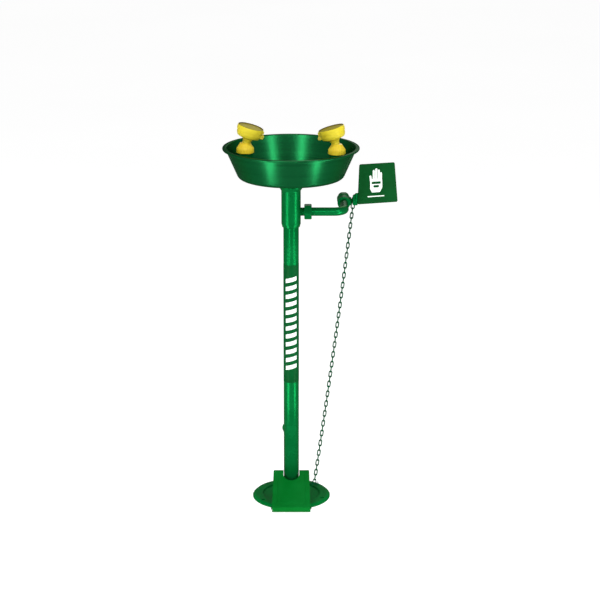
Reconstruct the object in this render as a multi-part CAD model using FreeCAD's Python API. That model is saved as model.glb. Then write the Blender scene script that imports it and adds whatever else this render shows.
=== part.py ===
import FreeCAD, Part
import math
import os

# Pedestal eyewash station with a drained bowl, two spray heads, a hand plate and a foot treadle.
# Millimetres. The origin is on the pole's axis at the floor; +X points to the valve side,
# +Y to the back, +Z up. The user stands at -Y.

Vector = FreeCAD.Vector
Placement = FreeCAD.Placement
Rotation = FreeCAD.Rotation
X_AXIS = Vector(1, 0, 0)
Y_AXIS = Vector(0, 1, 0)
Z_AXIS = Vector(0, 0, 1)

# Clearances
RUNNING = 0.08          # radial, shaft in its hole
FREE = 0.4              # between moving pieces that never touch
LOOSE = 3.0             # radial, shackle eye on the chain pin

# Floor flange
FLANGE_R = 103.0
FLANGE_EDGE = 2.5
RING_TOP = 8.0
RING_FLAT_OUT = 97.0
RING_IN = 76.0
RECESS_Z = 4.0
RECESS_EDGE = 2.0       # both recess walls lean by this much
HUB_TOP = 16.0
POLE_SEAT = 3.0
BOLT_PCD = 180.0
BOLT_HOLE_R = 5.5
BOLT_COUNT = 3
BOLT_START = -25.0

# Pole
POLE_R = 20.0
POLE_WALL = 2.5
POLE_BORE = POLE_R - POLE_WALL
HUB_R = POLE_R + 6.0
LABEL_T = 0.3
LABEL_LOW = 323.5
LABEL_HIGH = 642.5

# Waste outlet, low on the back of the pole
WASTE_Z = 175.0
WASTE_R = 16.5
WASTE_BORE = 13.0
WASTE_REACH = 50.0
WASTE_THREAD_R = 16.0
WASTE_THREAD = 20.0
WASTE_TURN = 10.0

# Upper body
BODY_LOW = 741.0
BODY_R = POLE_R + 5.0
BODY_CHAMFER = 2.5
BODY_CHAMFER_H = 9.0
BODY_HEIGHT = 108.0
SEAL_H = 2.0
DRAIN_R = POLE_R - 1.0
DRAIN_WALL = 2.5
DRAIN_TAIL = 24.0       # fitting's length below the body's top
BODY_LEDGE = 5.0        # cone from the socket to the drain
COLLAR_R = BODY_R + 6.0
COLLAR_H = 9.0
COLLAR_LIP = 3.0
ARM_UP = 40.0           # side port above the body's lower end
SOCKET_GAP = 2.0        # pole's socket below the side port
SET_SCREW_R = 3.0
SET_SCREW_UP = 15.0
SET_SCREW_COUNT = 3

# Water pipes
PIPE_R = 10.65
PIPE_WALL = 2.65
PIPE_BORE = PIPE_R - PIPE_WALL
NIPPLE_R = 11.0
NIPPLE_BORE = NIPPLE_R - 3.0
ELBOW_R = NIPPLE_R + 1.5
ELBOW_SIDE_R = NIPPLE_R + 1.0
ELBOW_BORE = NIPPLE_BORE - 0.2
ELBOW_REACH = POLE_BORE
ELBOW_SOCKET = 6.0
NIPPLE_SOCKET = 5.0
YOKE_UP = 37.0          # yoke's axis above the upper body
YOKE_BEND = 24.0
YOKE_TURN = -4.5
TEE_R = PIPE_R + 4.35
TEE_HALF = 24.0
TEE_DROP = 17.0
TEE_SOCKET = 8.0

# Bowl
RIM_R = 175.0
BOWL_DEPTH = 99.5
RIM_ROLL = 5.0
RIM_EDGE = 2.25
RIM_THROAT = 2.5
RIM_UNDER = 1.5
WALL_TOP_R = RIM_R - 8.5
WALL_SLOPE = 0.41       # radius gained per height
SHEET = 1.6
CORNER_DROP = 65.0      # wall's lower end below its top
CORNER_IN = 5.0         # floor's corner inside the wall's lower end
CORNER_ROUND = 14.0
FLOOR_RISE = 22.0
GASKET = 1.5
DRAIN_FLANGE = 2.5
STRAINER = 1.5
SLOT_COUNT = 12
SLOT_R = 2.0

# Spray heads
SPACING = RIM_R - 58.0  # from the bowl's axis
NUT_AF = 2 * PIPE_R + 14.7
NUT_H = 15.0
NUT_ROLL = 15.0
BELL_DROP = 16.5        # bell's base below the rim
BELL_R = 22.5
BELL_H = 26.0
BELL_STRAIGHT = 12.0
BELL_SOCKET = 10.0
BELL_INLET = 16.0
NECK_R = 10.5
NECK_LENGTH = 30.0
WATERWAY = 7.0
HEAD_TILT = 16.0
DRUM_R = 31.8
DRUM_H = 24.5
DRUM_WALL = 2.5
DRUM_DISH = 4.0         # how far the underside swells down to the neck
DRUM_STRAIGHT = 8.0     # where the side becomes straight
DRUM_FLOOR = 3.0        # below the filter
FILTER_LEDGE = 2.0
PLATE_SUNK = 0.5
DRUM_INWARD = 7.6       # drum's lower centre, inward of the bell's axis
DRUM_UP = 41.0          # drum's lower centre above the bell's base
SPRAY_T = 3.0
FILTER_T = 8.0
JET_R = 1.0
JET_RINGS = ((DRUM_R - 23.5, 6), (DRUM_R - 16.0, 10), (DRUM_R - 8.5, 14))
CAP_T = 3.0
CAP_SKIRT = 9.0
CAP_WALL = 1.5
HINGE_OUT = DRUM_R + 3.8
HINGE_UP = 9.0
HINGE_PIN_R = 1.5
KNUCKLE_R = 3.4
KNUCKLE_W = 7.0
LUG_W = 2.5
LUG_END = 3.2           # past the hinge's axis
LUG_ROOT = 5.0          # inside the drum's side
STRAP_T = 2.4
BRIDGE_H = 5.0

# Side arm
UNION_HEAD_R = NIPPLE_R + 4.0
UNION_LOW = BODY_R + 9.0
UNION_LENGTH = 19.0
UNION_LIP = 4.5
UNION_AF = 2 * UNION_HEAD_R + 6.0
UNION_ROUND = 1.12      # corner circle over the flats
UNION_GASKET = 1.5
TAIL_FLANGE = 3.0
ARM_BEND = 29.0
VALVE_X = 138.0
VALVE_Y = 117.0

# Ball valve
VALVE_AF = 2 * NIPPLE_R + 11.0
VALVE_ROUND = VALVE_AF / 2 + 1.8
VALVE_SOCKET = 16.0
VALVE_FRONT = 25.0      # front face before the ball's centre
SOCKET_BORE_DEPTH = 11.0
BALL_R = 10.5
BALL_BORE = 6.5
SEAT_GAP = 0.3
SEAT_R = BALL_R + 0.7
SEAT_IN = 6.8
SEAT_FROM = BALL_R - 4.0
CAVITY_HALF = BALL_R + 1.5
BARREL_R = SEAT_R + 4.3
CAP_LENGTH = 22.0
SUPPLY_R = 9.5
SUPPLY_DEPTH = 14.0
STEM_R = 4.0
TANG_W = 4.0
TANG_L = 5.0
TANG_DEPTH = 3.0
TANG_PROUD = 0.2
BOSS_R = 11.8
BOSS_WALL = 1.5
CUP_R = 7.5
CUP_DEPTH = 3.9
PACKING_T = 2.3
BONNET_AF = 20.0
BONNET_H = 3.0
GLAND_R = 7.0
GLAND_H = 3.0
HEX_GAP = 0.1           # bonnet past the valve's flats
BOSS_END = max(SEAT_R + BOSS_WALL + CUP_DEPTH, VALVE_AF / 2 + HEX_GAP)
CUP_FLOOR = BOSS_END - CUP_DEPTH

# Hand lever and push plate
LEVER_X = VALVE_X + BOSS_END + BONNET_H + GLAND_H + FREE
LEVER_W = 13.0
LEVER_HUB_R = 9.0
WASHER_R = 8.0
WASHER_T = 1.2
LEVER_NUT_AF = 13.0
LEVER_NUT_H = 5.8
THREAD_END = 1.5        # screw past its nut
EYE_REACH = 15.3
EYE_ANGLE = 32.7
EYE_HOLE = 3.2
EYE_R = 6.2
EYE_X = LEVER_X + 4.5
EYE_T = 2.0
WEB_H = 8.0
CHEEK_IN = 3.0          # lever's cheek clear of the plate and the stem
CHEEK_HALF = 8.0
CHEEK_SHORT = 7.0
PLATE_X = LEVER_X + LEVER_W
PLATE_Y = 99.0
PLATE_DROP = 5.0        # plate's lower edge below the stem's axis
PLATE_YAW = 16.0
PLATE_W = 111.0
PLATE_H = 107.0
PLATE_IN_LEFT = 4.0
PLATE_IN_RIGHT = 10.0
PLATE_T = 2.5
PLATE_CORNER = 4.0
BAR_T = 4.0
BAR_LOW = 8.0
BAR_H = 22.0
BAR_LENGTH = 62.0
BAR_BEHIND = 6.0
BAR_ROUND = 6.0
STUD_R = 3.0
STUD_AT = (18.0, 48.0)
STUD_NUT_AF = 10.0
STUD_NUT_H = 5.0
SIGN_T = 0.3
SIGN_CENTRE = PLATE_W / 2 - 5.5
SIGN_SCALE = PLATE_H / 107.0
SIGN_LOW = 30.0
STRIP_LOW = 18.0
STRIP_SIZE = (46.0, 2.6)

# Treadle, drawn flat in its own frame with its hinge axis as the origin
TREADLE_HINGE_Y = -117.5
TREADLE_HINGE_Z = 11.5
TREADLE_ANGLE = 24.0
TREADLE_PRESS = 14.7
TREADLE_TOP = 8.0
TREADLE_T = 2.5
TREADLE_REAR = 130.5
TREADLE_FRONT = 6.85
TREADLE_HALF_FRONT = 50.5
TREADLE_HALF_REAR = TREADLE_HALF_FRONT - 3.0
TREADLE_CORNER = 3.0
LIP_FOOT = (-12.1, -3.9)
LIP_SLANT = (2.3, -1.0)  # across the lip's lower end
NOTCH_HALF = POLE_R + 1.0
NOTCH_FROM = 92.8
CHEEK_T = 2.5
CHEEK_FRONT = -5.0
CHEEK_REAR = -12.0
CHEEK_STEP = (58.0, 72.0)
CHEEK_ROUND = 6.0
TREADLE_PIN_R = 3.0
CHEEK_EAR_R = TREADLE_PIN_R + 3.5
CLIP_R = TREADLE_PIN_R + 2.5
CLIP_T = 1.2
BRACKET_HALF = TREADLE_HALF_FRONT - 7.5
BRACKET_T = 3.0
BRACKET_BACK = -80.0
BRACKET_EAR_R = TREADLE_PIN_R + 2.2
BRACKET_START = 9.0     # base plate behind the hinge
BRACKET_WEB = 11.0
SCREW_R = 2.5
SCREW_HEAD_R = 4.5
SCREW_HEAD_H = 3.0
SCREW_X = 22.0
SCREW_Y = -87.0
STOP_R = 7.0
STOP_X = 34.0
STOP_Y = -47.0
STOP_GAP = FREE + 0.6

# Chain
WIRE_R = 1.5
LINK_HALF = 3.5         # wire's centre line from the link's long axis
LINK_PLAY = 0.25
LINK_COUNT = 55
HOOK_LENGTH = 28.0
HOOK_HALF = 4.2
CHAIN_SAG = 2.6
CHAIN_PIN_R = 2.0
CHAIN_PIN_HEAD = 6.5
CHAIN_PIN_X = TREADLE_HALF_REAR + 13.0
CHAIN_PIN_ALONG = 93.2
CHAIN_PIN_DOWN = -5.9
CHAIN_PIN_TAIL = 3.0
CHAIN_HEAD_T = 2.0
RING_WALL = 2.0
RING_GAP = 2.2
SHACKLE_H = 13.0
SHACKLE_EYE_T = 2.0
SHACKLE_EYE_R = CHAIN_PIN_R + LOOSE + 2.0
SHACKLE_HALF = 4.2
SHACKLE_CROWN = 2.6
SHACKLE_BEND = 2.2
SHACKLE_WIRE = 1.2

# Heights that follow from the sizes above
ARM_Z = BODY_LOW + ARM_UP
BODY_TOP = BODY_LOW + BODY_HEIGHT
SOCKET_TOP = ARM_Z - NIPPLE_R - SOCKET_GAP
BOWL_SEAT = BODY_TOP + GASKET
DRAIN_TOP = BOWL_SEAT + SHEET + DRAIN_FLANGE
RIM_Z = BOWL_SEAT + BOWL_DEPTH
WALL_TOP_Z = RIM_Z - RIM_ROLL
CORNER_Z = WALL_TOP_Z - CORNER_DROP
YOKE_Z = BODY_TOP + YOKE_UP
BELL_LOW = RIM_Z - BELL_DROP
RISER_LOW = ARM_Z + ELBOW_REACH - ELBOW_SOCKET
SPRAY_LOW = DRUM_H - SPRAY_T
FILTER_LOW = SPRAY_LOW - FILTER_T
CAP_LOW = DRUM_H + FREE
UNION_FACE = UNION_LOW + UNION_LENGTH - UNION_LIP
TAIL_FACE = UNION_FACE - TAIL_FLANGE
NIPPLE_FACE = TAIL_FACE - UNION_GASKET
TREADLE_UNDER = TREADLE_TOP - TREADLE_T


def at(x, y, z):
    return Vector(x, y, z)


def rod(radius, start, end):
    axis = end.sub(start)
    return Part.makeCylinder(radius, axis.Length, start, axis)


def tube(outer, inner, start, end):
    return rod(outer, start, end).cut(rod(inner, start, end))


def cut_all(shape, tools):
    for tool in tools:
        shape = shape.cut(tool)
    return shape


def fuse_all(shapes):
    joined = shapes[0].multiFuse(shapes[1:])
    return joined.removeSplitter()


def rounded_wire(corners, radii):
    """A closed wire through the corners, each rounded by its own radius."""
    edges = []
    starts = []
    count = len(corners)
    for i, corner in enumerate(corners):
        before = corners[i - 1].sub(corner).normalize()
        after = corners[(i + 1) % count].sub(corner).normalize()
        radius = radii[i]
        if radius == 0:
            starts.append((corner, corner, None))
            continue
        half = before.getAngle(after) / 2.0
        reach = radius / math.tan(half)
        enter = corner.add(before * reach)
        leave = corner.add(after * reach)
        bisector = before.add(after).normalize()
        middle = corner.add(bisector * (radius / math.sin(half) - radius))
        starts.append((enter, leave, Part.Arc(enter, middle, leave).toShape()))
    for i, (enter, leave, arc) in enumerate(starts):
        if arc:
            edges.append(arc)
        following = starts[(i + 1) % count][0]
        if leave.distanceToPoint(following) > 1e-6:
            edges.append(Part.makeLine(leave, following))
    return Part.Wire(edges)


def revolve(outline, radii=None):
    """The outline's (radius, height) corners turned about the Z axis."""
    corners = [at(r, 0, z) for r, z in outline]
    wire = rounded_wire(corners, radii or [0] * len(corners))
    return Part.Face(wire).revolve(at(0, 0, 0), Z_AXIS, 360)


def slab(corners, radii, thickness):
    """Corners (Vectors in one plane) rounded, and given a thickness vector."""
    return Part.Face(rounded_wire(corners, radii)).extrude(thickness)


def hexagon(across_flats, start, end, roll=0.0):
    """A hexagonal bar from start to end; roll turns its corners about the bar."""
    axis = end.sub(start)
    corner_r = across_flats / math.sqrt(3)
    corners = []
    for i in range(6):
        angle = math.radians(60 * i + roll)
        corners.append(at(corner_r * math.cos(angle), corner_r * math.sin(angle), 0))
    bar = slab(corners, [0] * 6, at(0, 0, axis.Length))
    bar.Placement = Placement(start, Rotation(Z_AXIS, axis))
    return bar


def bent_rod(points, bends, radius):
    """A round bar along straight runs joined by tangent bends."""
    edges = []
    cursor = points[0]
    for i in range(1, len(points) - 1):
        back = points[i - 1].sub(points[i]).normalize()
        onward = points[i + 1].sub(points[i]).normalize()
        half = back.getAngle(onward) / 2.0
        reach = bends[i - 1] / math.tan(half)
        enter = points[i].add(back * reach)
        leave = points[i].add(onward * reach)
        inside = back.add(onward).normalize()
        middle = points[i].add(inside * (bends[i - 1] / math.sin(half) - bends[i - 1]))
        edges.append(Part.makeLine(cursor, enter))
        edges.append(Part.Arc(enter, middle, leave).toShape())
        cursor = leave
    edges.append(Part.makeLine(cursor, points[-1]))
    ring = Part.Wire(Part.makeCircle(radius, points[0], points[1].sub(points[0])))
    return Part.Wire(edges).makePipeShell([ring], True, False)


def bent_tube(points, bends, outer, inner):
    return bent_rod(points, bends, outer).cut(bent_rod(points, bends, inner))


def floor_flange():
    outline = [(POLE_BORE, 0), (FLANGE_R, 0), (FLANGE_R, FLANGE_EDGE),
               (RING_FLAT_OUT, RING_TOP), (RING_IN, RING_TOP), (RING_IN - RECESS_EDGE, RECESS_Z),
               (HUB_R + RECESS_EDGE, RECESS_Z), (HUB_R, HUB_TOP), (POLE_R, HUB_TOP),
               (POLE_R, POLE_SEAT), (POLE_BORE, POLE_SEAT)]
    radii = [0, 0, 1, 3, 2, 1.2, 3, 2, 0, 0, 0]
    flange = revolve(outline, radii)
    holes = []
    for i in range(BOLT_COUNT):
        angle = math.radians(BOLT_START + 360.0 / BOLT_COUNT * i)
        x = BOLT_PCD / 2 * math.cos(angle)
        y = BOLT_PCD / 2 * math.sin(angle)
        holes.append(rod(BOLT_HOLE_R, at(x, y, 0), at(x, y, RING_TOP)))
    for x in (-SCREW_X, SCREW_X):
        holes.append(rod(SCREW_R, at(x, SCREW_Y, RECESS_Z / 2), at(x, SCREW_Y, RING_TOP)))
    return cut_all(flange, holes)


def waste_direction():
    angle = math.radians(90 + WASTE_TURN)
    return at(math.cos(angle), math.sin(angle), 0)


def pedestal_pipe():
    pipe = tube(POLE_R, POLE_BORE, at(0, 0, POLE_SEAT), at(0, 0, SOCKET_TOP - SEAL_H))
    centre = at(0, 0, WASTE_Z)
    return pipe.cut(rod(WASTE_R, centre, centre.add(waste_direction() * WASTE_REACH)))


def waste_spigot():
    centre = at(0, 0, WASTE_Z)
    outward = waste_direction()
    shoulder = centre.add(outward * (WASTE_REACH - WASTE_THREAD))
    end = centre.add(outward * WASTE_REACH)
    spigot = fuse_all([rod(WASTE_R, centre, shoulder), rod(WASTE_THREAD_R, centre, end)])
    spigot = spigot.cut(rod(WASTE_BORE, centre, end))
    spigot = spigot.cut(rod(POLE_BORE, at(0, 0, WASTE_Z - 2 * WASTE_R),
                            at(0, 0, WASTE_Z + 2 * WASTE_R)))
    return max(spigot.Solids, key=lambda piece: piece.Volume)


def label_band():
    return tube(POLE_R + LABEL_T, POLE_R, at(0, 0, LABEL_LOW), at(0, 0, LABEL_HIGH))


def set_screw_lines():
    z = BODY_LOW + SET_SCREW_UP
    lines = []
    for i in range(SET_SCREW_COUNT):
        angle = math.radians(90 + 360.0 / SET_SCREW_COUNT * i)
        outward = at(math.cos(angle), math.sin(angle), 0)
        lines.append((outward * POLE_R + at(0, 0, z), outward * BODY_R + at(0, 0, z)))
    return lines


def upper_body():
    collar = BODY_TOP - COLLAR_LIP
    outline = [(POLE_R, BODY_LOW), (BODY_R - BODY_CHAMFER, BODY_LOW),
               (BODY_R, BODY_LOW + BODY_CHAMFER_H), (BODY_R, collar - COLLAR_H), (COLLAR_R, collar),
               (COLLAR_R, BODY_TOP), (DRAIN_R, BODY_TOP), (DRAIN_R, SOCKET_TOP + BODY_LEDGE),
               (POLE_BORE, SOCKET_TOP), (POLE_R, SOCKET_TOP)]
    body = revolve(outline, [0, 1, 4, 5, 1, 1, 0, 0, 0, 0])
    holes = [rod(NIPPLE_R, at(0, 0, ARM_Z), at(2 * BODY_R, 0, ARM_Z))]
    for inner, outer in set_screw_lines():
        run = outer.sub(inner)
        holes.append(rod(SET_SCREW_R, inner.sub(run), outer.add(run)))
    return cut_all(body, holes)


def pole_seal():
    return tube(POLE_R, POLE_BORE, at(0, 0, SOCKET_TOP - SEAL_H), at(0, 0, SOCKET_TOP))


def pole_set_screws():
    screws = [rod(SET_SCREW_R, inner, outer) for inner, outer in set_screw_lines()]
    pole = rod(POLE_R, at(0, 0, BODY_LOW), at(0, 0, BODY_TOP))
    return Part.makeCompound([screw.cut(pole) for screw in screws])


def riser_elbow():
    outer = [rod(ELBOW_R, at(0, 0, ARM_Z - ELBOW_R), at(0, 0, ARM_Z + ELBOW_REACH)),
             rod(ELBOW_SIDE_R, at(0, 0, ARM_Z), at(ELBOW_REACH, 0, ARM_Z))]
    elbow = fuse_all(outer)
    elbow = elbow.common(rod(POLE_BORE - FREE, at(0, 0, BODY_LOW), at(0, 0, BODY_TOP)))
    cuts = [rod(NIPPLE_BORE, at(0, 0, ARM_Z - NIPPLE_BORE), at(0, 0, ARM_Z + ELBOW_REACH)),
            rod(ELBOW_BORE, at(0, 0, ARM_Z), at(ELBOW_REACH, 0, ARM_Z)),
            rod(NIPPLE_R, at(ELBOW_REACH - NIPPLE_SOCKET, 0, ARM_Z), at(BODY_R, 0, ARM_Z)),
            rod(PIPE_R, at(0, 0, RISER_LOW), at(0, 0, ARM_Z + ELBOW_REACH))]
    return cut_all(elbow, cuts)


def riser_pipe():
    top = YOKE_Z - TEE_DROP + TEE_SOCKET
    return tube(PIPE_R, PIPE_BORE, at(0, 0, RISER_LOW), at(0, 0, top))


def yoke_frame(shape):
    shape.rotate(at(0, 0, 0), Z_AXIS, YOKE_TURN)
    return shape


def yoke_tee():
    tee = fuse_all([rod(TEE_R, at(-TEE_HALF, 0, YOKE_Z), at(TEE_HALF, 0, YOKE_Z)),
                    rod(TEE_R, at(0, 0, YOKE_Z - TEE_DROP), at(0, 0, YOKE_Z))])
    low = YOKE_Z - TEE_DROP
    cuts = [rod(PIPE_BORE, at(-TEE_HALF, 0, YOKE_Z), at(TEE_HALF, 0, YOKE_Z)),
            rod(PIPE_BORE, at(0, 0, low), at(0, 0, YOKE_Z)),
            rod(PIPE_R, at(0, 0, low), at(0, 0, low + TEE_SOCKET)),
            rod(PIPE_R, at(-TEE_HALF, 0, YOKE_Z), at(-TEE_HALF + TEE_SOCKET, 0, YOKE_Z)),
            rod(PIPE_R, at(TEE_HALF - TEE_SOCKET, 0, YOKE_Z), at(TEE_HALF, 0, YOKE_Z))]
    return yoke_frame(cut_all(tee, cuts))


def yoke_pipe(side):
    points = [at(side * (TEE_HALF - TEE_SOCKET), 0, YOKE_Z), at(side * SPACING, 0, YOKE_Z),
              at(side * SPACING, 0, BELL_LOW + BELL_SOCKET)]
    return yoke_frame(bent_tube(points, [YOKE_BEND], PIPE_R, PIPE_BORE))


def head_nut(side):
    low = at(side * SPACING, 0, BELL_LOW - NUT_H)
    high = at(side * SPACING, 0, BELL_LOW)
    return yoke_frame(hexagon(NUT_AF, low, high, NUT_ROLL).cut(rod(PIPE_R, low, high)))


def drum_frame(shape, side):
    """Carry a shape from the drum's own frame, +X inward and +Z along its axis, to its head."""
    turn = Rotation(Y_AXIS, HEAD_TILT)
    base = Placement(at(-SPACING + DRUM_INWARD, 0, BELL_LOW + DRUM_UP), turn)
    shape = shape.copy()
    shape.Placement = base.multiply(shape.Placement)
    if side > 0:
        shape.rotate(at(0, 0, 0), Z_AXIS, 180)
    return yoke_frame(shape)


def hinge_lugs():
    lugs = []
    for side in (-1, 1):
        near = side * (KNUCKLE_W / 2 + FREE)
        far = side * (KNUCKLE_W / 2 + FREE + LUG_W)
        root = DRUM_R - LUG_ROOT
        tip = HINGE_OUT + LUG_END
        corners = [at(root, near, HINGE_UP - 5), at(tip, near, HINGE_UP - 3.6),
                   at(tip, near, HINGE_UP + 3.6), at(root, near, HINGE_UP + 5)]
        lugs.append(slab(corners, [0, 3, 3, 0], at(0, far - near, 0)))
    return lugs


def spray_head(side):
    drum = revolve([(0, -DRUM_DISH), (NECK_R + 3, -DRUM_DISH), (DRUM_R - 3, 1),
                    (DRUM_R, DRUM_STRAIGHT), (DRUM_R, DRUM_H), (0, DRUM_H)], [0, 3, 5, 8, 1, 0])
    neck = rod(NECK_R, at(0, 0, -NECK_LENGTH - DRUM_DISH), at(0, 0, 0))
    pieces = [drum_frame(drum, side), drum_frame(neck, side)]
    for lug in hinge_lugs():
        pieces.append(drum_frame(lug, side))
    bell = revolve([(0, BELL_LOW), (BELL_R, BELL_LOW), (BELL_R, BELL_LOW + BELL_STRAIGHT),
                    (NECK_R + 2.5, BELL_LOW + BELL_H), (0, BELL_LOW + BELL_H)], [0, 2, 7, 2, 0])
    bell.translate(at(side * SPACING, 0, 0))
    pieces.append(yoke_frame(bell))
    head = fuse_all(pieces)
    floor = FILTER_LOW - DRUM_FLOOR
    seat = DRUM_R - DRUM_WALL
    cavity = revolve([(0, floor), (seat - FILTER_LEDGE, floor), (seat - FILTER_LEDGE, SPRAY_LOW),
                      (seat, SPRAY_LOW), (seat, DRUM_H), (0, DRUM_H)])
    waterway = rod(WATERWAY, at(0, 0, -NECK_LENGTH - DRUM_DISH + 1), at(0, 0, floor + 1))
    pin = rod(HINGE_PIN_R, at(HINGE_OUT, -KNUCKLE_W, HINGE_UP), at(HINGE_OUT, KNUCKLE_W, HINGE_UP))
    base = at(side * SPACING, 0, BELL_LOW)
    socket = rod(PIPE_R, base, base.add(Z_AXIS * BELL_SOCKET))
    inlet = rod(WATERWAY, base, base.add(Z_AXIS * BELL_INLET))
    cuts = [drum_frame(cavity, side), drum_frame(waterway, side), drum_frame(pin, side),
            yoke_frame(socket), yoke_frame(inlet)]
    return cut_all(head, cuts)


def filter_foam(side):
    foam_r = DRUM_R - DRUM_WALL - FILTER_LEDGE
    return drum_frame(rod(foam_r, at(0, 0, FILTER_LOW), at(0, 0, SPRAY_LOW)), side)


def spray_plate(side):
    plate = rod(DRUM_R - DRUM_WALL, at(0, 0, SPRAY_LOW), at(0, 0, DRUM_H - PLATE_SUNK))
    jets = []
    for ring_r, count in JET_RINGS:
        for i in range(count):
            angle = 2 * math.pi * i / count
            x = ring_r * math.cos(angle)
            y = ring_r * math.sin(angle)
            jets.append(rod(JET_R, at(x, y, SPRAY_LOW), at(x, y, DRUM_H)))
    return drum_frame(plate.cut(Part.makeCompound(jets)), side)


def dust_cap(side):
    skirt_in = DRUM_R + FREE
    outer = skirt_in + CAP_WALL
    edge = CAP_LOW - CAP_SKIRT
    top = CAP_LOW + CAP_T
    lid = revolve([(0, CAP_LOW), (skirt_in, CAP_LOW), (skirt_in, edge), (outer, edge),
                   (outer, top), (0, top)], [0, 0, 0, 0.5, 2, 0])
    strap = Part.makeBox(STRAP_T, KNUCKLE_W, CAP_LOW - HINGE_UP - 4,
                         at(HINGE_OUT + 0.8 - STRAP_T, -KNUCKLE_W / 2, HINGE_UP))
    knuckle = rod(KNUCKLE_R, at(HINGE_OUT, -KNUCKLE_W / 2, HINGE_UP),
                  at(HINGE_OUT, KNUCKLE_W / 2, HINGE_UP))
    root = skirt_in + CAP_WALL / 2
    bridge = Part.makeBox(HINGE_OUT + 0.8 - root, KNUCKLE_W, BRIDGE_H,
                          at(root, -KNUCKLE_W / 2, edge + 3))
    cap = fuse_all([lid, strap, knuckle, bridge])
    pin = rod(HINGE_PIN_R + RUNNING, at(HINGE_OUT, -KNUCKLE_W, HINGE_UP),
              at(HINGE_OUT, KNUCKLE_W, HINGE_UP))
    return drum_frame(cap.cut(pin), side)


def cap_hinge_pin(side):
    half = KNUCKLE_W / 2 + FREE + LUG_W
    return drum_frame(rod(HINGE_PIN_R, at(HINGE_OUT, -half, HINGE_UP), at(HINGE_OUT, half, HINGE_UP)),
                      side)


def wall_radius(z):
    return WALL_TOP_R - WALL_SLOPE * (WALL_TOP_Z - z)


def bowl():
    floor_in = BOWL_SEAT + SHEET
    corner_r = wall_radius(CORNER_Z)
    corner_low = BOWL_SEAT + FLOOR_RISE
    low_r = corner_r - CORNER_IN
    outline = [(DRAIN_R, BOWL_SEAT), (COLLAR_R, BOWL_SEAT), (low_r, corner_low),
               (wall_radius(WALL_TOP_Z), WALL_TOP_Z), (RIM_R, WALL_TOP_Z), (RIM_R, RIM_Z),
               (WALL_TOP_R - SHEET, RIM_Z), (low_r - SHEET, corner_low + SHEET),
               (COLLAR_R, floor_in), (DRAIN_R, floor_in)]
    radii = [0, 0, CORNER_ROUND, RIM_UNDER, RIM_EDGE, RIM_EDGE, RIM_THROAT, CORNER_ROUND - SHEET, 0, 0]
    return revolve(outline, radii)


def bowl_gasket():
    return tube(COLLAR_R - 1, DRAIN_R, at(0, 0, BODY_TOP), at(0, 0, BOWL_SEAT))


def drain_fitting():
    low = BOWL_SEAT + SHEET
    tail = BODY_TOP - DRAIN_TAIL
    bore = DRAIN_R - DRAIN_WALL
    outline = [(bore, tail), (DRAIN_R, tail), (DRAIN_R, low), (COLLAR_R, low),
               (COLLAR_R, DRAIN_TOP), (bore, DRAIN_TOP)]
    return revolve(outline, [0, 0, 0, 0, 1.2, 0])


def strainer_plate():
    plate = tube(COLLAR_R - 3, PIPE_R, at(0, 0, DRAIN_TOP), at(0, 0, DRAIN_TOP + STRAINER))
    holes = []
    middle = (PIPE_R + DRAIN_R - DRAIN_WALL) / 2
    for i in range(SLOT_COUNT):
        angle = 2 * math.pi * i / SLOT_COUNT
        x = middle * math.cos(angle)
        y = middle * math.sin(angle)
        holes.append(rod(SLOT_R, at(x, y, DRAIN_TOP), at(x, y, DRAIN_TOP + STRAINER)))
    return cut_all(plate, holes)


def side_nipple():
    end = at(NIPPLE_FACE, 0, ARM_Z)
    nipple = fuse_all([rod(NIPPLE_R, at(ELBOW_REACH - NIPPLE_SOCKET, 0, ARM_Z), end),
                       rod(UNION_HEAD_R, at(UNION_LOW, 0, ARM_Z), end)])
    return nipple.cut(rod(NIPPLE_BORE, at(0, 0, ARM_Z), end))


def union_gasket():
    return tube(UNION_HEAD_R - FREE, NIPPLE_BORE, at(NIPPLE_FACE, 0, ARM_Z), at(TAIL_FACE, 0, ARM_Z))


def union_nut():
    end = UNION_LOW + UNION_LENGTH
    nut = hexagon(UNION_AF, at(UNION_LOW, 0, ARM_Z), at(end, 0, ARM_Z), 0)
    guard = rod(UNION_AF / 2 * UNION_ROUND, at(UNION_LOW, 0, ARM_Z), at(end, 0, ARM_Z))
    nut = nut.common(guard)
    cuts = [rod(UNION_HEAD_R, at(UNION_LOW, 0, ARM_Z), at(UNION_FACE, 0, ARM_Z)),
            rod(NIPPLE_R, at(UNION_LOW, 0, ARM_Z), at(end, 0, ARM_Z))]
    return cut_all(nut, cuts)


def side_arm_pipe():
    start = at(TAIL_FACE, 0, ARM_Z)
    socket = VALVE_Y - VALVE_FRONT + SOCKET_BORE_DEPTH
    points = [start, at(VALVE_X, 0, ARM_Z), at(VALVE_X, socket, ARM_Z)]
    pipe = bent_tube(points, [ARM_BEND], NIPPLE_R, NIPPLE_BORE)
    flange = tube(UNION_HEAD_R - RUNNING, NIPPLE_BORE, start, at(UNION_FACE, 0, ARM_Z))
    return fuse_all([pipe, flange])


def valve_point(along_x, along_y, up=0.0):
    return at(VALVE_X + along_x, VALVE_Y + along_y, ARM_Z + up)


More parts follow.
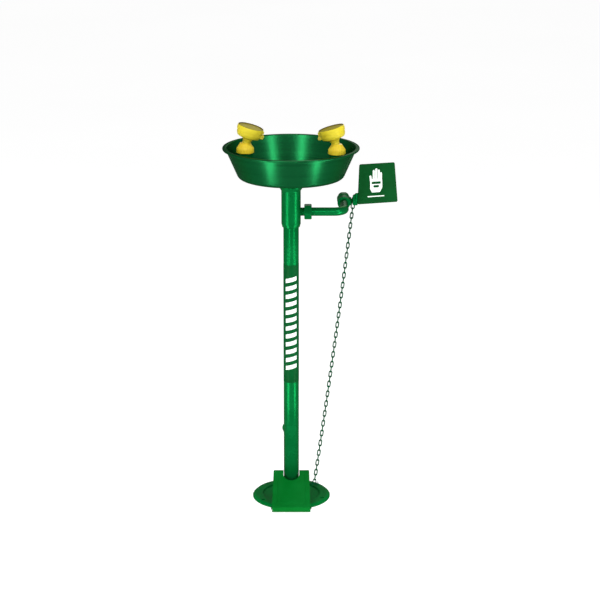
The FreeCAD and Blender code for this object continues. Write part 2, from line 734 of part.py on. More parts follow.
def valve_body():
    front = -VALVE_FRONT
    hex_end = front + VALVE_SOCKET
    end = hexagon(VALVE_AF, valve_point(0, front), valve_point(0, hex_end), 30)
    end = end.common(rod(VALVE_ROUND, valve_point(0, front), valve_point(0, hex_end)))
    barrel = rod(BARREL_R, valve_point(0, hex_end), valve_point(0, CAVITY_HALF))
    boss = rod(BOSS_R, valve_point(0, 0), valve_point(BOSS_END, 0))
    body = fuse_all([end, barrel, boss])
    cuts = [rod(NIPPLE_R, valve_point(0, front), valve_point(0, front + SOCKET_BORE_DEPTH)),
            rod(SEAT_IN, valve_point(0, front), valve_point(0, 0)),
            rod(SEAT_R, valve_point(0, -CAVITY_HALF), valve_point(0, CAVITY_HALF)),
            rod(STEM_R + RUNNING, valve_point(0, 0), valve_point(BOSS_END, 0)),
            rod(CUP_R, valve_point(CUP_FLOOR, 0), valve_point(BOSS_END, 0))]
    return cut_all(body, cuts)


def valve_end_cap():
    low = CAVITY_HALF
    high = CAVITY_HALF + CAP_LENGTH
    cap = hexagon(VALVE_AF, valve_point(0, low), valve_point(0, high), 30)
    cap = cap.common(rod(VALVE_ROUND, valve_point(0, low), valve_point(0, high)))
    cuts = [rod(SEAT_IN, valve_point(0, low), valve_point(0, high)),
            rod(SUPPLY_R, valve_point(0, high - SUPPLY_DEPTH), valve_point(0, high))]
    return cut_all(cap, cuts)


def stem_tang():
    return Part.makeBox(TANG_DEPTH, TANG_W, TANG_L,
                        valve_point(BALL_R - TANG_DEPTH + TANG_PROUD, -TANG_W / 2, -TANG_L / 2))


def valve_ball():
    ball = Part.makeSphere(BALL_R, valve_point(0, 0))
    bore = rod(BALL_BORE, valve_point(0, 0, -BALL_R - 1), valve_point(0, 0, BALL_R + 1))
    return ball.cut(bore).cut(stem_tang())


def valve_seats():
    seats = []
    for side in (-1, 1):
        ring = tube(SEAT_R, SEAT_IN, valve_point(0, side * SEAT_FROM), valve_point(0, side * CAVITY_HALF))
        seats.append(ring.cut(Part.makeSphere(BALL_R + SEAT_GAP, valve_point(0, 0))))
    return Part.makeCompound(seats)


def stem_end():
    return LEVER_X + LEVER_W + WASHER_T + LEVER_NUT_H + THREAD_END - VALVE_X


def valve_stem():
    shaft = rod(STEM_R, valve_point(BALL_R + TANG_PROUD, 0), valve_point(stem_end(), 0))
    return fuse_all([shaft, stem_tang()])


def stem_packing():
    return tube(CUP_R, STEM_R + RUNNING, valve_point(CUP_FLOOR, 0),
                valve_point(CUP_FLOOR + PACKING_T, 0))


def bonnet_nut():
    mouth = valve_point(BOSS_END, 0)
    shoulder = valve_point(BOSS_END + BONNET_H, 0)
    nut = fuse_all([rod(CUP_R, valve_point(CUP_FLOOR + PACKING_T, 0), mouth),
                    hexagon(BONNET_AF, mouth, shoulder, 0),
                    rod(GLAND_R, shoulder, valve_point(BOSS_END + BONNET_H + GLAND_H, 0))])
    return nut.cut(rod(STEM_R + RUNNING, valve_point(0, 0), valve_point(stem_end(), 0)))


def eye_centre():
    angle = math.radians(EYE_ANGLE)
    return at(EYE_X, VALVE_Y + EYE_REACH * math.cos(angle), ARM_Z + EYE_REACH * math.sin(angle))


def plate_frame(shape):
    """Carry a shape drawn in the XZ plane, thickness along +Y, to the push plate's place."""
    shape = shape.copy()
    shape.Placement = Placement(at(PLATE_X, PLATE_Y, ARM_Z - PLATE_DROP), Rotation(Z_AXIS, PLATE_YAW)) \
        .multiply(shape.Placement)
    return shape


def lever_arm():
    hub = rod(LEVER_HUB_R, at(LEVER_X, VALVE_Y, ARM_Z), at(LEVER_X + LEVER_W, VALVE_Y, ARM_Z))
    eye = eye_centre()
    half_t = at(EYE_T / 2, 0, 0)
    ring = rod(EYE_R, eye.sub(half_t), eye.add(half_t))
    web = Part.makeBox(EYE_T, EYE_REACH, WEB_H, at(EYE_X - EYE_T / 2, VALVE_Y, ARM_Z - WEB_H / 2))
    web.rotate(at(EYE_X, VALVE_Y, ARM_Z), X_AXIS, EYE_ANGLE)
    low = ARM_Z - PLATE_DROP + BAR_LOW
    front = PLATE_Y + CHEEK_IN
    outer = LEVER_X + LEVER_W
    cheek = slab([at(LEVER_X, front, ARM_Z - CHEEK_HALF), at(outer, front, ARM_Z - CHEEK_HALF),
                  at(outer, front, low + BAR_H), at(LEVER_X, front, low + BAR_H - CHEEK_SHORT)],
                 [3, 0, 0, 3], at(0, VALVE_Y - PLATE_Y - 2 * CHEEK_IN, 0))
    bar = slab([at(-BAR_BEHIND, PLATE_T, BAR_LOW), at(BAR_LENGTH, PLATE_T, BAR_LOW),
                at(BAR_LENGTH, PLATE_T, BAR_LOW + BAR_H), at(-BAR_BEHIND, PLATE_T, BAR_LOW + BAR_H)],
               [0, BAR_ROUND, BAR_ROUND, 0], at(0, BAR_T, 0))
    arm = fuse_all([hub, ring, web, cheek, plate_frame(bar)])
    cuts = [rod(EYE_HOLE, eye.sub(at(EYE_T, 0, 0)), eye.add(at(EYE_T, 0, 0))),
            rod(STEM_R, at(LEVER_X, VALVE_Y, ARM_Z), at(LEVER_X + LEVER_W, VALVE_Y, ARM_Z))]
    for u in STUD_AT:
        cuts.append(plate_frame(rod(STUD_R, at(u, PLATE_T, stud_height()),
                                    at(u, PLATE_T + BAR_T, stud_height()))))
    behind = Part.makeBox(4 * BAR_LENGTH, 60, 300, at(-40, -60 + PLATE_T, -100))
    cuts.append(plate_frame(behind))
    return cut_all(arm, cuts)


def stud_height():
    return BAR_LOW + BAR_H / 2


def lever_washer():
    low = LEVER_X + LEVER_W
    return tube(WASHER_R, STEM_R, at(low, VALVE_Y, ARM_Z), at(low + WASHER_T, VALVE_Y, ARM_Z))


def lever_nut():
    low = LEVER_X + LEVER_W + WASHER_T
    start = at(low, VALVE_Y, ARM_Z)
    end = at(low + LEVER_NUT_H, VALVE_Y, ARM_Z)
    return hexagon(LEVER_NUT_AF, start, end, 0).cut(rod(STEM_R, start, end))


def push_plate():
    plate = slab([at(0, 0, 0), at(PLATE_W, 0, 0), at(PLATE_W - PLATE_IN_RIGHT, 0, PLATE_H),
                  at(PLATE_IN_LEFT, 0, PLATE_H)], [PLATE_CORNER] * 4, at(0, PLATE_T, 0))
    studs = []
    end = PLATE_T + BAR_T + STUD_NUT_H + THREAD_END
    for u in STUD_AT:
        studs.append(rod(STUD_R, at(u, PLATE_T - 0.5, stud_height()), at(u, end, stud_height())))
    return plate_frame(fuse_all([plate] + studs))


def plate_nuts():
    low = PLATE_T + BAR_T
    nuts = []
    for u in STUD_AT:
        start = at(u, low, stud_height())
        end = at(u, low + STUD_NUT_H, stud_height())
        nuts.append(plate_frame(hexagon(STUD_NUT_AF, start, end, 0).cut(rod(STUD_R, start, end))))
    return Part.makeCompound(nuts)


def capsule(low, high, radius):
    """A flat finger shape in the XZ plane, from a low to a high point, in front of the plate."""
    depth = at(0, -SIGN_T, 0)
    along = high.sub(low).normalize()
    side = at(along.z, 0, -along.x) * radius
    strip = slab([low.sub(side), low.add(side), high.add(side), high.sub(side)], [0] * 4, depth)
    ends = [Part.makeCylinder(radius, SIGN_T, point, Y_AXIS * -1) for point in (low, high)]
    return fuse_all([strip] + ends)


def hand_sign():
    palm = slab([at(-11, 0, 0), at(11, 0, 0), at(17.5, 0, 13), at(16.5, 0, 36), at(-16, 0, 36),
                 at(-16, 0, 10)], [2, 2, 4, 3, 3, 6], at(0, -SIGN_T, 0))
    fingers = []
    for x, tip in ((-6.6, 57.0), (0.4, 61.0), (7.2, 57.5), (13.4, 50.0)):
        fingers.append(capsule(at(x, 0, 32), at(x, 0, tip), 2.7))
    fingers.append(capsule(at(-13.4, 0, 26), at(-15.6, 0, 43), 2.6))
    sign = fuse_all([palm] + fingers)
    sign.scale(SIGN_SCALE)
    sign.translate(at(SIGN_CENTRE, 0, SIGN_LOW))
    return plate_frame(sign)


def sign_strip():
    width, height = STRIP_SIZE
    low = SIGN_CENTRE - width / 2
    return plate_frame(Part.makeBox(width, SIGN_T, height, at(low, -SIGN_T, STRIP_LOW)))


def treadle_frame(shape):
    """Carry a shape from the treadle's flat frame, hinge axis at the origin, to its rest place."""
    shape = shape.copy()
    turn = Placement(at(0, TREADLE_HINGE_Y, TREADLE_HINGE_Z), Rotation(X_AXIS, TREADLE_ANGLE))
    shape.Placement = turn.multiply(shape.Placement)
    return shape


def side_profile(points, radii, half):
    return slab([at(-half, y, z) for y, z in points], radii, at(2 * half, 0, 0))


def plan(inset):
    """The treadle's outline from above, taken in by an inset, as a tall block."""
    low = -TREADLE_FRONT - 8
    front = TREADLE_HALF_FRONT - inset
    rear = TREADLE_HALF_REAR - inset
    corners = [at(-front, low, -30), at(front, low, -30), at(rear, TREADLE_REAR, -30),
               at(-rear, TREADLE_REAR, -30)]
    radii = [0, 0, TREADLE_CORNER, TREADLE_CORNER]
    return slab(corners, radii, at(0, 0, 60))


def treadle_plate():
    foot_y, foot_z = LIP_FOOT
    sheet = side_profile([(TREADLE_REAR, TREADLE_TOP), (-TREADLE_FRONT, TREADLE_TOP), (foot_y, foot_z),
                          (foot_y + LIP_SLANT[0], foot_z + LIP_SLANT[1]),
                          (-TREADLE_FRONT + 1.7, TREADLE_UNDER), (TREADLE_REAR, TREADLE_UNDER)],
                         [0, 3, 0, 0, 0.8, 0], TREADLE_HALF_FRONT)
    profile = side_profile([(-TREADLE_FRONT + 1, TREADLE_UNDER), (-4, CHEEK_FRONT),
                            (CHEEK_STEP[0], CHEEK_FRONT), (CHEEK_STEP[1], CHEEK_REAR),
                            (TREADLE_REAR, CHEEK_REAR), (TREADLE_REAR, TREADLE_UNDER)],
                           [0, 0, CHEEK_ROUND, CHEEK_ROUND, 4, 0], TREADLE_HALF_FRONT)
    ears = rod(CHEEK_EAR_R, at(-TREADLE_HALF_FRONT, 0, 0), at(TREADLE_HALF_FRONT, 0, 0))
    outer = plan(0)
    skirt = fuse_all([profile, ears]).common(outer).cut(plan(CHEEK_T))
    above = Part.makeBox(4 * TREADLE_HALF_FRONT, 3 * TREADLE_REAR, 20,
                         at(-2 * TREADLE_HALF_FRONT, -TREADLE_REAR, TREADLE_UNDER))
    skirt = skirt.cut(above)
    sheet = sheet.common(outer)
    treadle = fuse_all([sheet] + skirt.Solids)
    notch_centre = NOTCH_FROM + NOTCH_HALF
    notch = fuse_all([rod(NOTCH_HALF, at(0, notch_centre, -30), at(0, notch_centre, 30)),
                      Part.makeBox(2 * NOTCH_HALF, TREADLE_REAR, 60, at(-NOTCH_HALF, notch_centre, -30))])
    pin_hole = rod(TREADLE_PIN_R + RUNNING, at(-2 * TREADLE_HALF_FRONT, 0, 0),
                   at(2 * TREADLE_HALF_FRONT, 0, 0))
    chain_hole = rod(CHAIN_PIN_R, at(0, CHAIN_PIN_ALONG, CHAIN_PIN_DOWN),
                     at(CHAIN_PIN_X, CHAIN_PIN_ALONG, CHAIN_PIN_DOWN))
    return treadle_frame(cut_all(treadle, [notch, pin_hole, chain_hole]))


def chain_pin():
    inner = TREADLE_HALF_REAR - CHEEK_T - CHAIN_PIN_TAIL
    outer = CHAIN_PIN_X + SHACKLE_HALF + SHACKLE_EYE_T + CHAIN_PIN_TAIL
    start = at(inner, CHAIN_PIN_ALONG, CHAIN_PIN_DOWN)
    end = at(outer, CHAIN_PIN_ALONG, CHAIN_PIN_DOWN)
    head = at(outer + CHAIN_HEAD_T, CHAIN_PIN_ALONG, CHAIN_PIN_DOWN)
    return treadle_frame(fuse_all([rod(CHAIN_PIN_R, start, end), rod(CHAIN_PIN_HEAD, end, head)]))


def chain_pin_ring():
    inner = TREADLE_HALF_REAR - CHEEK_T - RING_GAP
    start = at(inner, CHAIN_PIN_ALONG, CHAIN_PIN_DOWN)
    end = at(inner + CLIP_T, CHAIN_PIN_ALONG, CHAIN_PIN_DOWN)
    return treadle_frame(tube(CHAIN_PIN_R + RING_WALL, CHAIN_PIN_R, start, end))


def hinge_line(x):
    return at(x, TREADLE_HINGE_Y, TREADLE_HINGE_Z)


def treadle_bracket():
    base_top = RING_TOP + BRACKET_T
    start = TREADLE_HINGE_Y + BRACKET_START
    base = Part.makeBox(2 * BRACKET_HALF, BRACKET_BACK - start, BRACKET_T,
                        at(-BRACKET_HALF, start, RING_TOP))
    pieces = [base]
    for side in (-1, 1):
        near = side * BRACKET_HALF
        far = side * (BRACKET_HALF - BRACKET_T)
        pieces.append(rod(BRACKET_EAR_R, hinge_line(near), hinge_line(far)))
        web = [at(near, TREADLE_HINGE_Y, TREADLE_HINGE_Z - BRACKET_EAR_R),
               at(near, TREADLE_HINGE_Y + BRACKET_WEB, RING_TOP),
               at(near, TREADLE_HINGE_Y + BRACKET_WEB, base_top + 1),
               at(near, TREADLE_HINGE_Y, TREADLE_HINGE_Z + BRACKET_EAR_R)]
        pieces.append(slab(web, [0] * 4, at(far - near, 0, 0)))
    bracket = fuse_all(pieces)
    cuts = [rod(TREADLE_PIN_R, hinge_line(-BRACKET_HALF), hinge_line(BRACKET_HALF))]
    for x in (-SCREW_X, SCREW_X):
        cuts.append(rod(SCREW_R, at(x, SCREW_Y, RING_TOP), at(x, SCREW_Y, base_top)))
    flange = rod(FLANGE_R + 0.5, at(0, 0, 0), at(0, 0, RING_TOP))
    return cut_all(bracket, cuts + [flange])


def bracket_screws():
    head_low = RING_TOP + BRACKET_T
    screws = []
    for x in (-SCREW_X, SCREW_X):
        shank = rod(SCREW_R, at(x, SCREW_Y, RECESS_Z / 2), at(x, SCREW_Y, head_low))
        head = rod(SCREW_HEAD_R, at(x, SCREW_Y, head_low), at(x, SCREW_Y, head_low + SCREW_HEAD_H))
        screws.append(fuse_all([shank, head]))
    return Part.makeCompound(screws)


def clip_start():
    return TREADLE_HALF_FRONT + FREE


def treadle_hinge_pin():
    half = clip_start() + CLIP_T + 1
    return rod(TREADLE_PIN_R, hinge_line(-half), hinge_line(half))


def hinge_clips():
    clips = []
    for side in (-1, 1):
        near = side * clip_start()
        clips.append(tube(CLIP_R, TREADLE_PIN_R, hinge_line(near), hinge_line(near + side * CLIP_T)))
    return Part.makeCompound(clips)


def treadle_stops():
    """Rubber buffers that the pressed treadle comes down to."""
    angle = math.radians(TREADLE_ANGLE - TREADLE_PRESS)
    reach = STOP_Y - STOP_R - TREADLE_HINGE_Y
    top = TREADLE_HINGE_Z + (reach * math.sin(angle) + TREADLE_UNDER) / math.cos(angle) - STOP_GAP
    stops = []
    for x in (-STOP_X, STOP_X):
        stops.append(rod(STOP_R, at(x, STOP_Y, RECESS_Z), at(x, STOP_Y, top)))
    return Part.makeCompound(stops)


def chain_foot():
    """The chain pin's axis at the shackle, with the treadle at rest."""
    angle = math.radians(TREADLE_ANGLE)
    y = CHAIN_PIN_ALONG * math.cos(angle) - CHAIN_PIN_DOWN * math.sin(angle)
    z = CHAIN_PIN_ALONG * math.sin(angle) + CHAIN_PIN_DOWN * math.cos(angle)
    return at(CHAIN_PIN_X, TREADLE_HINGE_Y + y, TREADLE_HINGE_Z + z)


def hang_frame(shape, origin, down, twist):
    """Carry a shape drawn downwards (-Z) from the origin to a place on the chain."""
    shape = shape.copy()
    rest = Placement(at(0, 0, 0), Rotation(Z_AXIS, twist))
    lean = Placement(origin, Rotation(Z_AXIS * -1, down))
    shape.Placement = lean.multiply(rest).multiply(shape.Placement)
    return shape


def link(inner_length, half):
    """One link: its top bend's centre line at the origin, hanging down in the XZ plane."""
    straight = inner_length + 2 * WIRE_R - 2 * half
    top = at(0, 0, -half)
    low = at(0, 0, -half - straight)
    pieces = []
    for side in (-1, 1):
        offset = at(side * half, 0, 0)
        pieces.append(rod(WIRE_R, low.add(offset), top.add(offset)))
    for centre, turn in ((top, -180), (low, 180)):
        disc = Part.Face(Part.Wire(Part.makeCircle(WIRE_R, centre.add(at(half, 0, 0)), Z_AXIS)))
        pieces.append(disc.revolve(centre, Y_AXIS, turn))
    return fuse_all(pieces)


def chain_down():
    return chain_foot().sub(eye_centre()).normalize()


def chain_hook():
    """The long first link, through the lever's eye."""
    return hang_frame(link(HOOK_LENGTH + LINK_PLAY, HOOK_HALF), eye_centre(), chain_down(), 0)


def chain_links():
    down = chain_down()
    top = eye_centre().add(down * HOOK_LENGTH)
    pitch = (chain_foot().sub(top).Length - SHACKLE_H) / LINK_COUNT
    one = link(pitch + LINK_PLAY, LINK_HALF)
    places = []
    for i in range(LINK_COUNT + 1):
        share = i / LINK_COUNT
        bow = at(CHAIN_SAG * 4 * share * (1 - share), 0, 0)
        places.append(top.add(down * (pitch * i)).add(bow))
    links = []
    for i in range(LINK_COUNT):
        lean = places[i + 1].sub(places[i]).normalize()
        links.append(hang_frame(one, places[i], lean, 90 * ((i + 1) % 2)))
    return Part.makeCompound(links)


def chain_shackle():
    foot = chain_foot()
    down = chain_down()
    eye_x = SHACKLE_HALF + SHACKLE_EYE_T / 2
    corners = [at(-eye_x, 0, -SHACKLE_H), at(-SHACKLE_CROWN, 0, 0), at(SHACKLE_CROWN, 0, 0),
               at(eye_x, 0, -SHACKLE_H)]
    wire = bent_rod(corners, [SHACKLE_BEND, SHACKLE_BEND], SHACKLE_WIRE)
    wire = hang_frame(wire, foot.sub(down * SHACKLE_H), down, 0)
    pieces = [wire]
    for side in (-1, 1):
        near = foot.add(at(side * SHACKLE_HALF, 0, 0))
        pieces.append(rod(SHACKLE_EYE_R, near, near.add(at(side * SHACKLE_EYE_T, 0, 0))))
    shackle = fuse_all(pieces)
    hole = rod(CHAIN_PIN_R + LOOSE, foot.sub(at(20, 0, 0)), foot.add(at(20, 0, 0)))
    return shackle.cut(hole)


PARTS = {
    "floor_flange": floor_flange, "pedestal_pipe": pedestal_pipe, "waste_spigot": waste_spigot,
    "label_band": label_band, "upper_body": upper_body, "pole_seal": pole_seal,
    "pole_set_screws": pole_set_screws, "riser_elbow": riser_elbow, "riser_pipe": riser_pipe,
    "yoke_tee": yoke_tee, "bowl": bowl, "bowl_gasket": bowl_gasket, "drain_fitting": drain_fitting,
    "strainer_plate": strainer_plate, "side_nipple": side_nipple, "union_gasket": union_gasket,
    "union_nut": union_nut, "side_arm_pipe": side_arm_pipe, "valve_body": valve_body,
    "valve_end_cap": valve_end_cap, "valve_ball": valve_ball, "valve_seats": valve_seats,
    "valve_stem": valve_stem, "stem_packing": stem_packing, "bonnet_nut": bonnet_nut,
    "lever_arm": lever_arm, "lever_washer": lever_washer, "lever_nut": lever_nut,
    "push_plate": push_plate, "plate_nuts": plate_nuts, "hand_sign": hand_sign,
    "sign_strip": sign_strip, "treadle_plate": treadle_plate, "treadle_bracket": treadle_bracket,
    "bracket_screws": bracket_screws, "treadle_hinge_pin": treadle_hinge_pin,
    "hinge_clips": hinge_clips, "treadle_stops": treadle_stops, "chain_pin": chain_pin,
    "chain_pin_ring": chain_pin_ring, "chain_hook": chain_hook, "chain_links": chain_links,
    "chain_shackle": chain_shackle,
}

PAIRS = {
    "yoke_pipe": yoke_pipe, "head_nut": head_nut, "spray_head": spray_head,
    "filter_foam": filter_foam, "spray_plate": spray_plate, "dust_cap": dust_cap,
    "cap_hinge_pin": cap_hinge_pin,
}


def export(name, shape):
    if not shape.isValid():
        print("not valid:", name)
    shape.exportStep("parts/" + name + ".step")
    box = shape.BoundBox
    print("%-20s %2d solid(s) %10.0f mm3  x %.1f %.1f  y %.1f %.1f  z %.1f %.1f" % (
        name, len(shape.Solids), shape.Volume, box.XMin, box.XMax, box.YMin, box.YMax,
        box.ZMin, box.ZMax))


os.makedirs("parts", exist_ok=True)
for name, make in PARTS.items():
    export(name, make())
for name, make in PAIRS.items():
    export("left_" + name, make(-1))
    export("right_" + name, make(1))
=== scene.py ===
import bmesh
import bpy
import math
import numpy as np
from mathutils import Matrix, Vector


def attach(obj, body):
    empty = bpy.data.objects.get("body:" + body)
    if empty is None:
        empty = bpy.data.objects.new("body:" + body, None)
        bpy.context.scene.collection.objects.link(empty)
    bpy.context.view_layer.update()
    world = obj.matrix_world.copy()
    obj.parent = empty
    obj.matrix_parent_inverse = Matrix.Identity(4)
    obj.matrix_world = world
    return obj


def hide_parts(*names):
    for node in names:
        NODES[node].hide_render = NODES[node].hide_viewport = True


# A pedestal eyewash station: green coated stand, bowl and arm, yellow spray heads, chain and
# treadle.
# Sizes below are in millimetres and are turned to metres when a mesh is laid down.
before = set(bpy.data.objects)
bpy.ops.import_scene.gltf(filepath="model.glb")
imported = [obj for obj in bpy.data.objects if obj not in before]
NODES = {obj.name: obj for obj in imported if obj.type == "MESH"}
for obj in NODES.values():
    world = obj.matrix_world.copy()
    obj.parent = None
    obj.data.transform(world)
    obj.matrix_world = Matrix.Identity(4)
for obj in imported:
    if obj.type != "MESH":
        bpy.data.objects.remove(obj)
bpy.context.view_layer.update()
MM = 0.001
TAU = 2 * math.pi


# ---------------------------------------------------------------- finishes

def node_tree(name):
    """A new material, with its shader and its object coordinates ready to wire."""
    material = bpy.data.materials.new(name)
    material.use_nodes = True
    nodes = material.node_tree.nodes
    shader = nodes["Principled BSDF"]
    place = nodes.new("ShaderNodeTexCoord")
    return material, nodes, material.node_tree.links, shader, place.outputs["Object"]


def grain(nodes, links, place, stretch, scale, detail=3.0):
    """Cloudy noise in object space, drawn out by the three stretch factors."""
    mapping = nodes.new("ShaderNodeMapping")
    mapping.inputs["Scale"].default_value = stretch
    noise = nodes.new("ShaderNodeTexNoise")
    noise.inputs["Scale"].default_value = scale
    noise.inputs["Detail"].default_value = detail
    links.new(place, mapping.inputs["Vector"])
    links.new(mapping.outputs["Vector"], noise.inputs["Vector"])
    return noise.outputs["Fac"]


def ramp(nodes, links, value, stops):
    """Colours picked along a value, from (position, colour) stops."""
    picker = nodes.new("ShaderNodeValToRGB")
    elements = picker.color_ramp.elements
    while len(elements) < len(stops):
        elements.new(0.5)
    for element, (position, colour) in zip(elements, stops):
        element.position = position
        element.color = (*colour, 1.0)
    links.new(value, picker.inputs["Fac"])
    return picker.outputs["Color"]


def span(nodes, links, value, low, high):
    """The value's middle half carried to the range low to high."""
    carry = nodes.new("ShaderNodeMapRange")
    carry.inputs["From Min"].default_value = 0.3
    carry.inputs["From Max"].default_value = 0.7
    carry.inputs["To Min"].default_value = low
    carry.inputs["To Max"].default_value = high
    links.new(value, carry.inputs["Value"])
    return carry.outputs["Result"]


def dent(nodes, links, height, shader, strength, distance):
    """Fine relief on the surface from a height value."""
    bump = nodes.new("ShaderNodeBump")
    bump.inputs["Strength"].default_value = strength
    bump.inputs["Distance"].default_value = distance
    links.new(height, bump.inputs["Height"])
    links.new(bump.outputs["Normal"], shader.inputs["Normal"])


def finish(name, low, high, rough, stretch=(1, 1, 1), scale=30.0, metal=0.0, relief=0.0,
           relief_scale=900.0, anisotropy=0.0, shine=0.12, tint=(1, 1, 1)):
    """A finish whose colour drifts from low to high and whose gloss drifts over the rough pair."""
    material, nodes, links, shader, place = node_tree(name)
    drift = grain(nodes, links, place, stretch, scale)
    links.new(ramp(nodes, links, drift, [(0.3, low), (0.7, high)]), shader.inputs["Base Color"])
    links.new(span(nodes, links, drift, *rough), shader.inputs["Roughness"])
    shader.inputs["Metallic"].default_value = metal
    shader.inputs["Specular IOR Level"].default_value = shine
    shader.inputs["Specular Tint"].default_value = (*tint, 1.0)
    shader.inputs["Anisotropic"].default_value = anisotropy
    if relief:
        fine = grain(nodes, links, place, stretch, relief_scale, 2.0)
        dent(nodes, links, fine, shader, relief, 0.0004)
    return material


DEEP_EDGE = (0.01, 0.22, 0.07)
coat_green = finish("coat_green", (0.001, 0.145, 0.030), (0.003, 0.190, 0.045), (0.22, 0.30),
                    scale=18, metal=0.5, relief=0.03, relief_scale=700, anisotropy=0.6,
                    tint=DEEP_EDGE)
spun_green = finish("spun_green", (0.006, 0.125, 0.036), (0.012, 0.185, 0.055), (0.17, 0.22),
                    stretch=(1.0, 1.0, 300), scale=1.4, metal=0.8, relief=0.03,
                    relief_scale=2.2, anisotropy=0.8, tint=DEEP_EDGE)
cast_green = finish("cast_green", (0.000, 0.115, 0.022), (0.001, 0.165, 0.036), (0.34, 0.46),
                    scale=26, metal=0.3, relief=0.10, relief_scale=500, tint=DEEP_EDGE)
flange_green = finish("flange_green", (0.000, 0.125, 0.020), (0.001, 0.165, 0.028), (0.45, 0.55),
                      scale=22, relief=0.10, relief_scale=500, shine=0.03, tint=DEEP_EDGE)
plate_green = finish("plate_green", (0.000, 0.052, 0.008), (0.001, 0.066, 0.012), (0.45, 0.55),
                     scale=24, relief=0.06, relief_scale=900, shine=0.04)
treadle_green = finish("treadle_green", (0.000, 0.130, 0.013), (0.001, 0.152, 0.019), (0.50, 0.60),
                       scale=22, relief=0.08, relief_scale=800, shine=0.04)
chain_green = finish("chain_green", (0.000, 0.055, 0.016), (0.004, 0.100, 0.038), (0.28, 0.42),
                     scale=300, metal=0.4, shine=0.2, tint=DEEP_EDGE)
label_green = finish("label_green", (0.000, 0.066, 0.013), (0.000, 0.078, 0.017), (0.40, 0.48),
                     scale=40, shine=0.05)
film_white = finish("film_white", (0.78, 0.86, 0.79), (0.86, 0.93, 0.87), (0.40, 0.50), scale=60)
moulded_yellow = finish("moulded_yellow", (0.72, 0.60, 0.026), (0.80, 0.68, 0.038), (0.35, 0.45),
                        scale=45, relief=0.06, relief_scale=1200, shine=0.25)
bell_yellow = finish("bell_yellow", (0.93, 0.66, 0.030), (0.97, 0.76, 0.045), (0.35, 0.45),
                     scale=45, relief=0.06, relief_scale=1200, shine=0.25)
# The lid's top face gets a darker olive yellow than the drum's sides: painted shade for a face
# turned up to the light.
face_yellow = finish("face_yellow", (0.36, 0.30, 0.010), (0.46, 0.38, 0.016), (0.45, 0.55),
                     scale=45, relief=0.06, relief_scale=1200, shine=0.05)
# The lid's raised rim is dark olive all round: a painted shadow standing for the rim's shaded inner
# wall.
edge_olive = finish("edge_olive", (0.10, 0.075, 0.010), (0.16, 0.12, 0.016), (0.45, 0.55), scale=60)
turned_steel = finish("turned_steel", (0.45, 0.46, 0.46), (0.62, 0.62, 0.61), (0.22, 0.38),
                      scale=160, metal=1.0, relief=0.10, relief_scale=500)
cast_brass = finish("cast_brass", (0.52, 0.36, 0.12), (0.68, 0.50, 0.20), (0.28, 0.42), scale=90,
                    metal=1.0, relief=0.10, relief_scale=600)
black_rubber = finish("black_rubber", (0.012, 0.012, 0.012), (0.030, 0.030, 0.030), (0.60, 0.80),
                      scale=120, relief=0.25, relief_scale=900)
pale_seal = finish("pale_seal", (0.72, 0.72, 0.70), (0.82, 0.82, 0.80), (0.40, 0.55), scale=90)
open_foam = finish("open_foam", (0.05, 0.05, 0.05), (0.14, 0.14, 0.14), (0.80, 0.95), scale=700,
                   relief=0.8, relief_scale=900)

FINISH_OF = {"green_coat": cast_green, "dark_coat": plate_green, "treadle_coat": treadle_green,
             "chain_coat": chain_green, "label_film": label_green, "white_film": film_white,
             "yellow_plastic": moulded_yellow, "steel": turned_steel, "brass": cast_brass,
             "rubber": black_rubber, "seat_plastic": pale_seal, "foam": open_foam}


# ---------------------------------------------------------------- shapes

def round_corners(corners, radii, steps=5, closed=True):
    """A polygon whose corners become arcs: each arc is tangent to both sides at its radius."""
    corners = [np.array(c, float) for c in corners]
    count = len(corners)
    out = []
    for i, corner in enumerate(corners):
        radius = radii[i]
        if radius == 0 or (not closed and i in (0, count - 1)):
            out.append(corner)
            continue
        back = corners[i - 1] - corner
        ahead = corners[(i + 1) % count] - corner
        back /= np.linalg.norm(back)
        ahead /= np.linalg.norm(ahead)
        half = math.acos(np.clip(back @ ahead, -1, 1)) / 2
        middle = (back + ahead) / np.linalg.norm(back + ahead)
        centre = corner + middle * radius / math.sin(half)
        first = corner + back * radius / math.tan(half) - centre
        last = corner + ahead * radius / math.tan(half) - centre
        turn = math.pi - 2 * half
        for t in np.linspace(0, 1, steps + 1):
            arc = (first * math.sin((1 - t) * turn) + last * math.sin(t * turn)) / math.sin(turn)
            out.append(centre + arc)
    return np.array(out)


def grid_faces(rows, columns, wrap_rows=False, wrap_columns=False):
    """Quads between neighbouring rows and columns of a grid of points."""
    i = np.arange(rows if wrap_rows else rows - 1)
    j = np.arange(columns if wrap_columns else columns - 1)
    i, j = (a.ravel() for a in np.meshgrid(i, j, indexing="ij"))
    down = (i + 1) % rows
    right = (j + 1) % columns
    corners = [i * columns + j, i * columns + right, down * columns + right, down * columns + j]
    return np.stack(corners, 1)


class Surface:
    """Points and faces in millimetres, joined up and carried to their place."""

    def __init__(self, points, faces):
        self.points = np.asarray(points, float).reshape(-1, 3)
        self.faces = [tuple(f) for f in faces]

    def with_shape(self, other):
        """Both shapes as one: the other's face numbers go up by this one's point count."""
        shift = len(self.points)
        faces = self.faces + [tuple(v + shift for v in f) for f in other.faces]
        return Surface(np.vstack([self.points, other.points]), faces)

    def turned(self, axis, degrees):
        """Every point turned about an axis through the origin."""
        return Surface(self.points @ turn_matrix(axis, degrees).T, self.faces)

    def moved(self, x, y, z):
        """Every point moved by the same step."""
        return Surface(self.points + np.array([x, y, z], float), self.faces)


NOTHING = Surface(np.zeros((0, 3)), [])


def turn_matrix(axis, degrees):
    """Rotation about an axis through the origin: I + sin(angle) K + (1 - cos(angle)) K K, where K
    is the axis's cross-product matrix."""
    axis = np.array(axis, float) / np.linalg.norm(axis)
    cross = np.array([[0, -axis[2], axis[1]], [axis[2], 0, -axis[0]], [-axis[1], axis[0], 0]])
    angle = math.radians(degrees)
    return np.eye(3) + math.sin(angle) * cross + (1 - math.cos(angle)) * cross @ cross


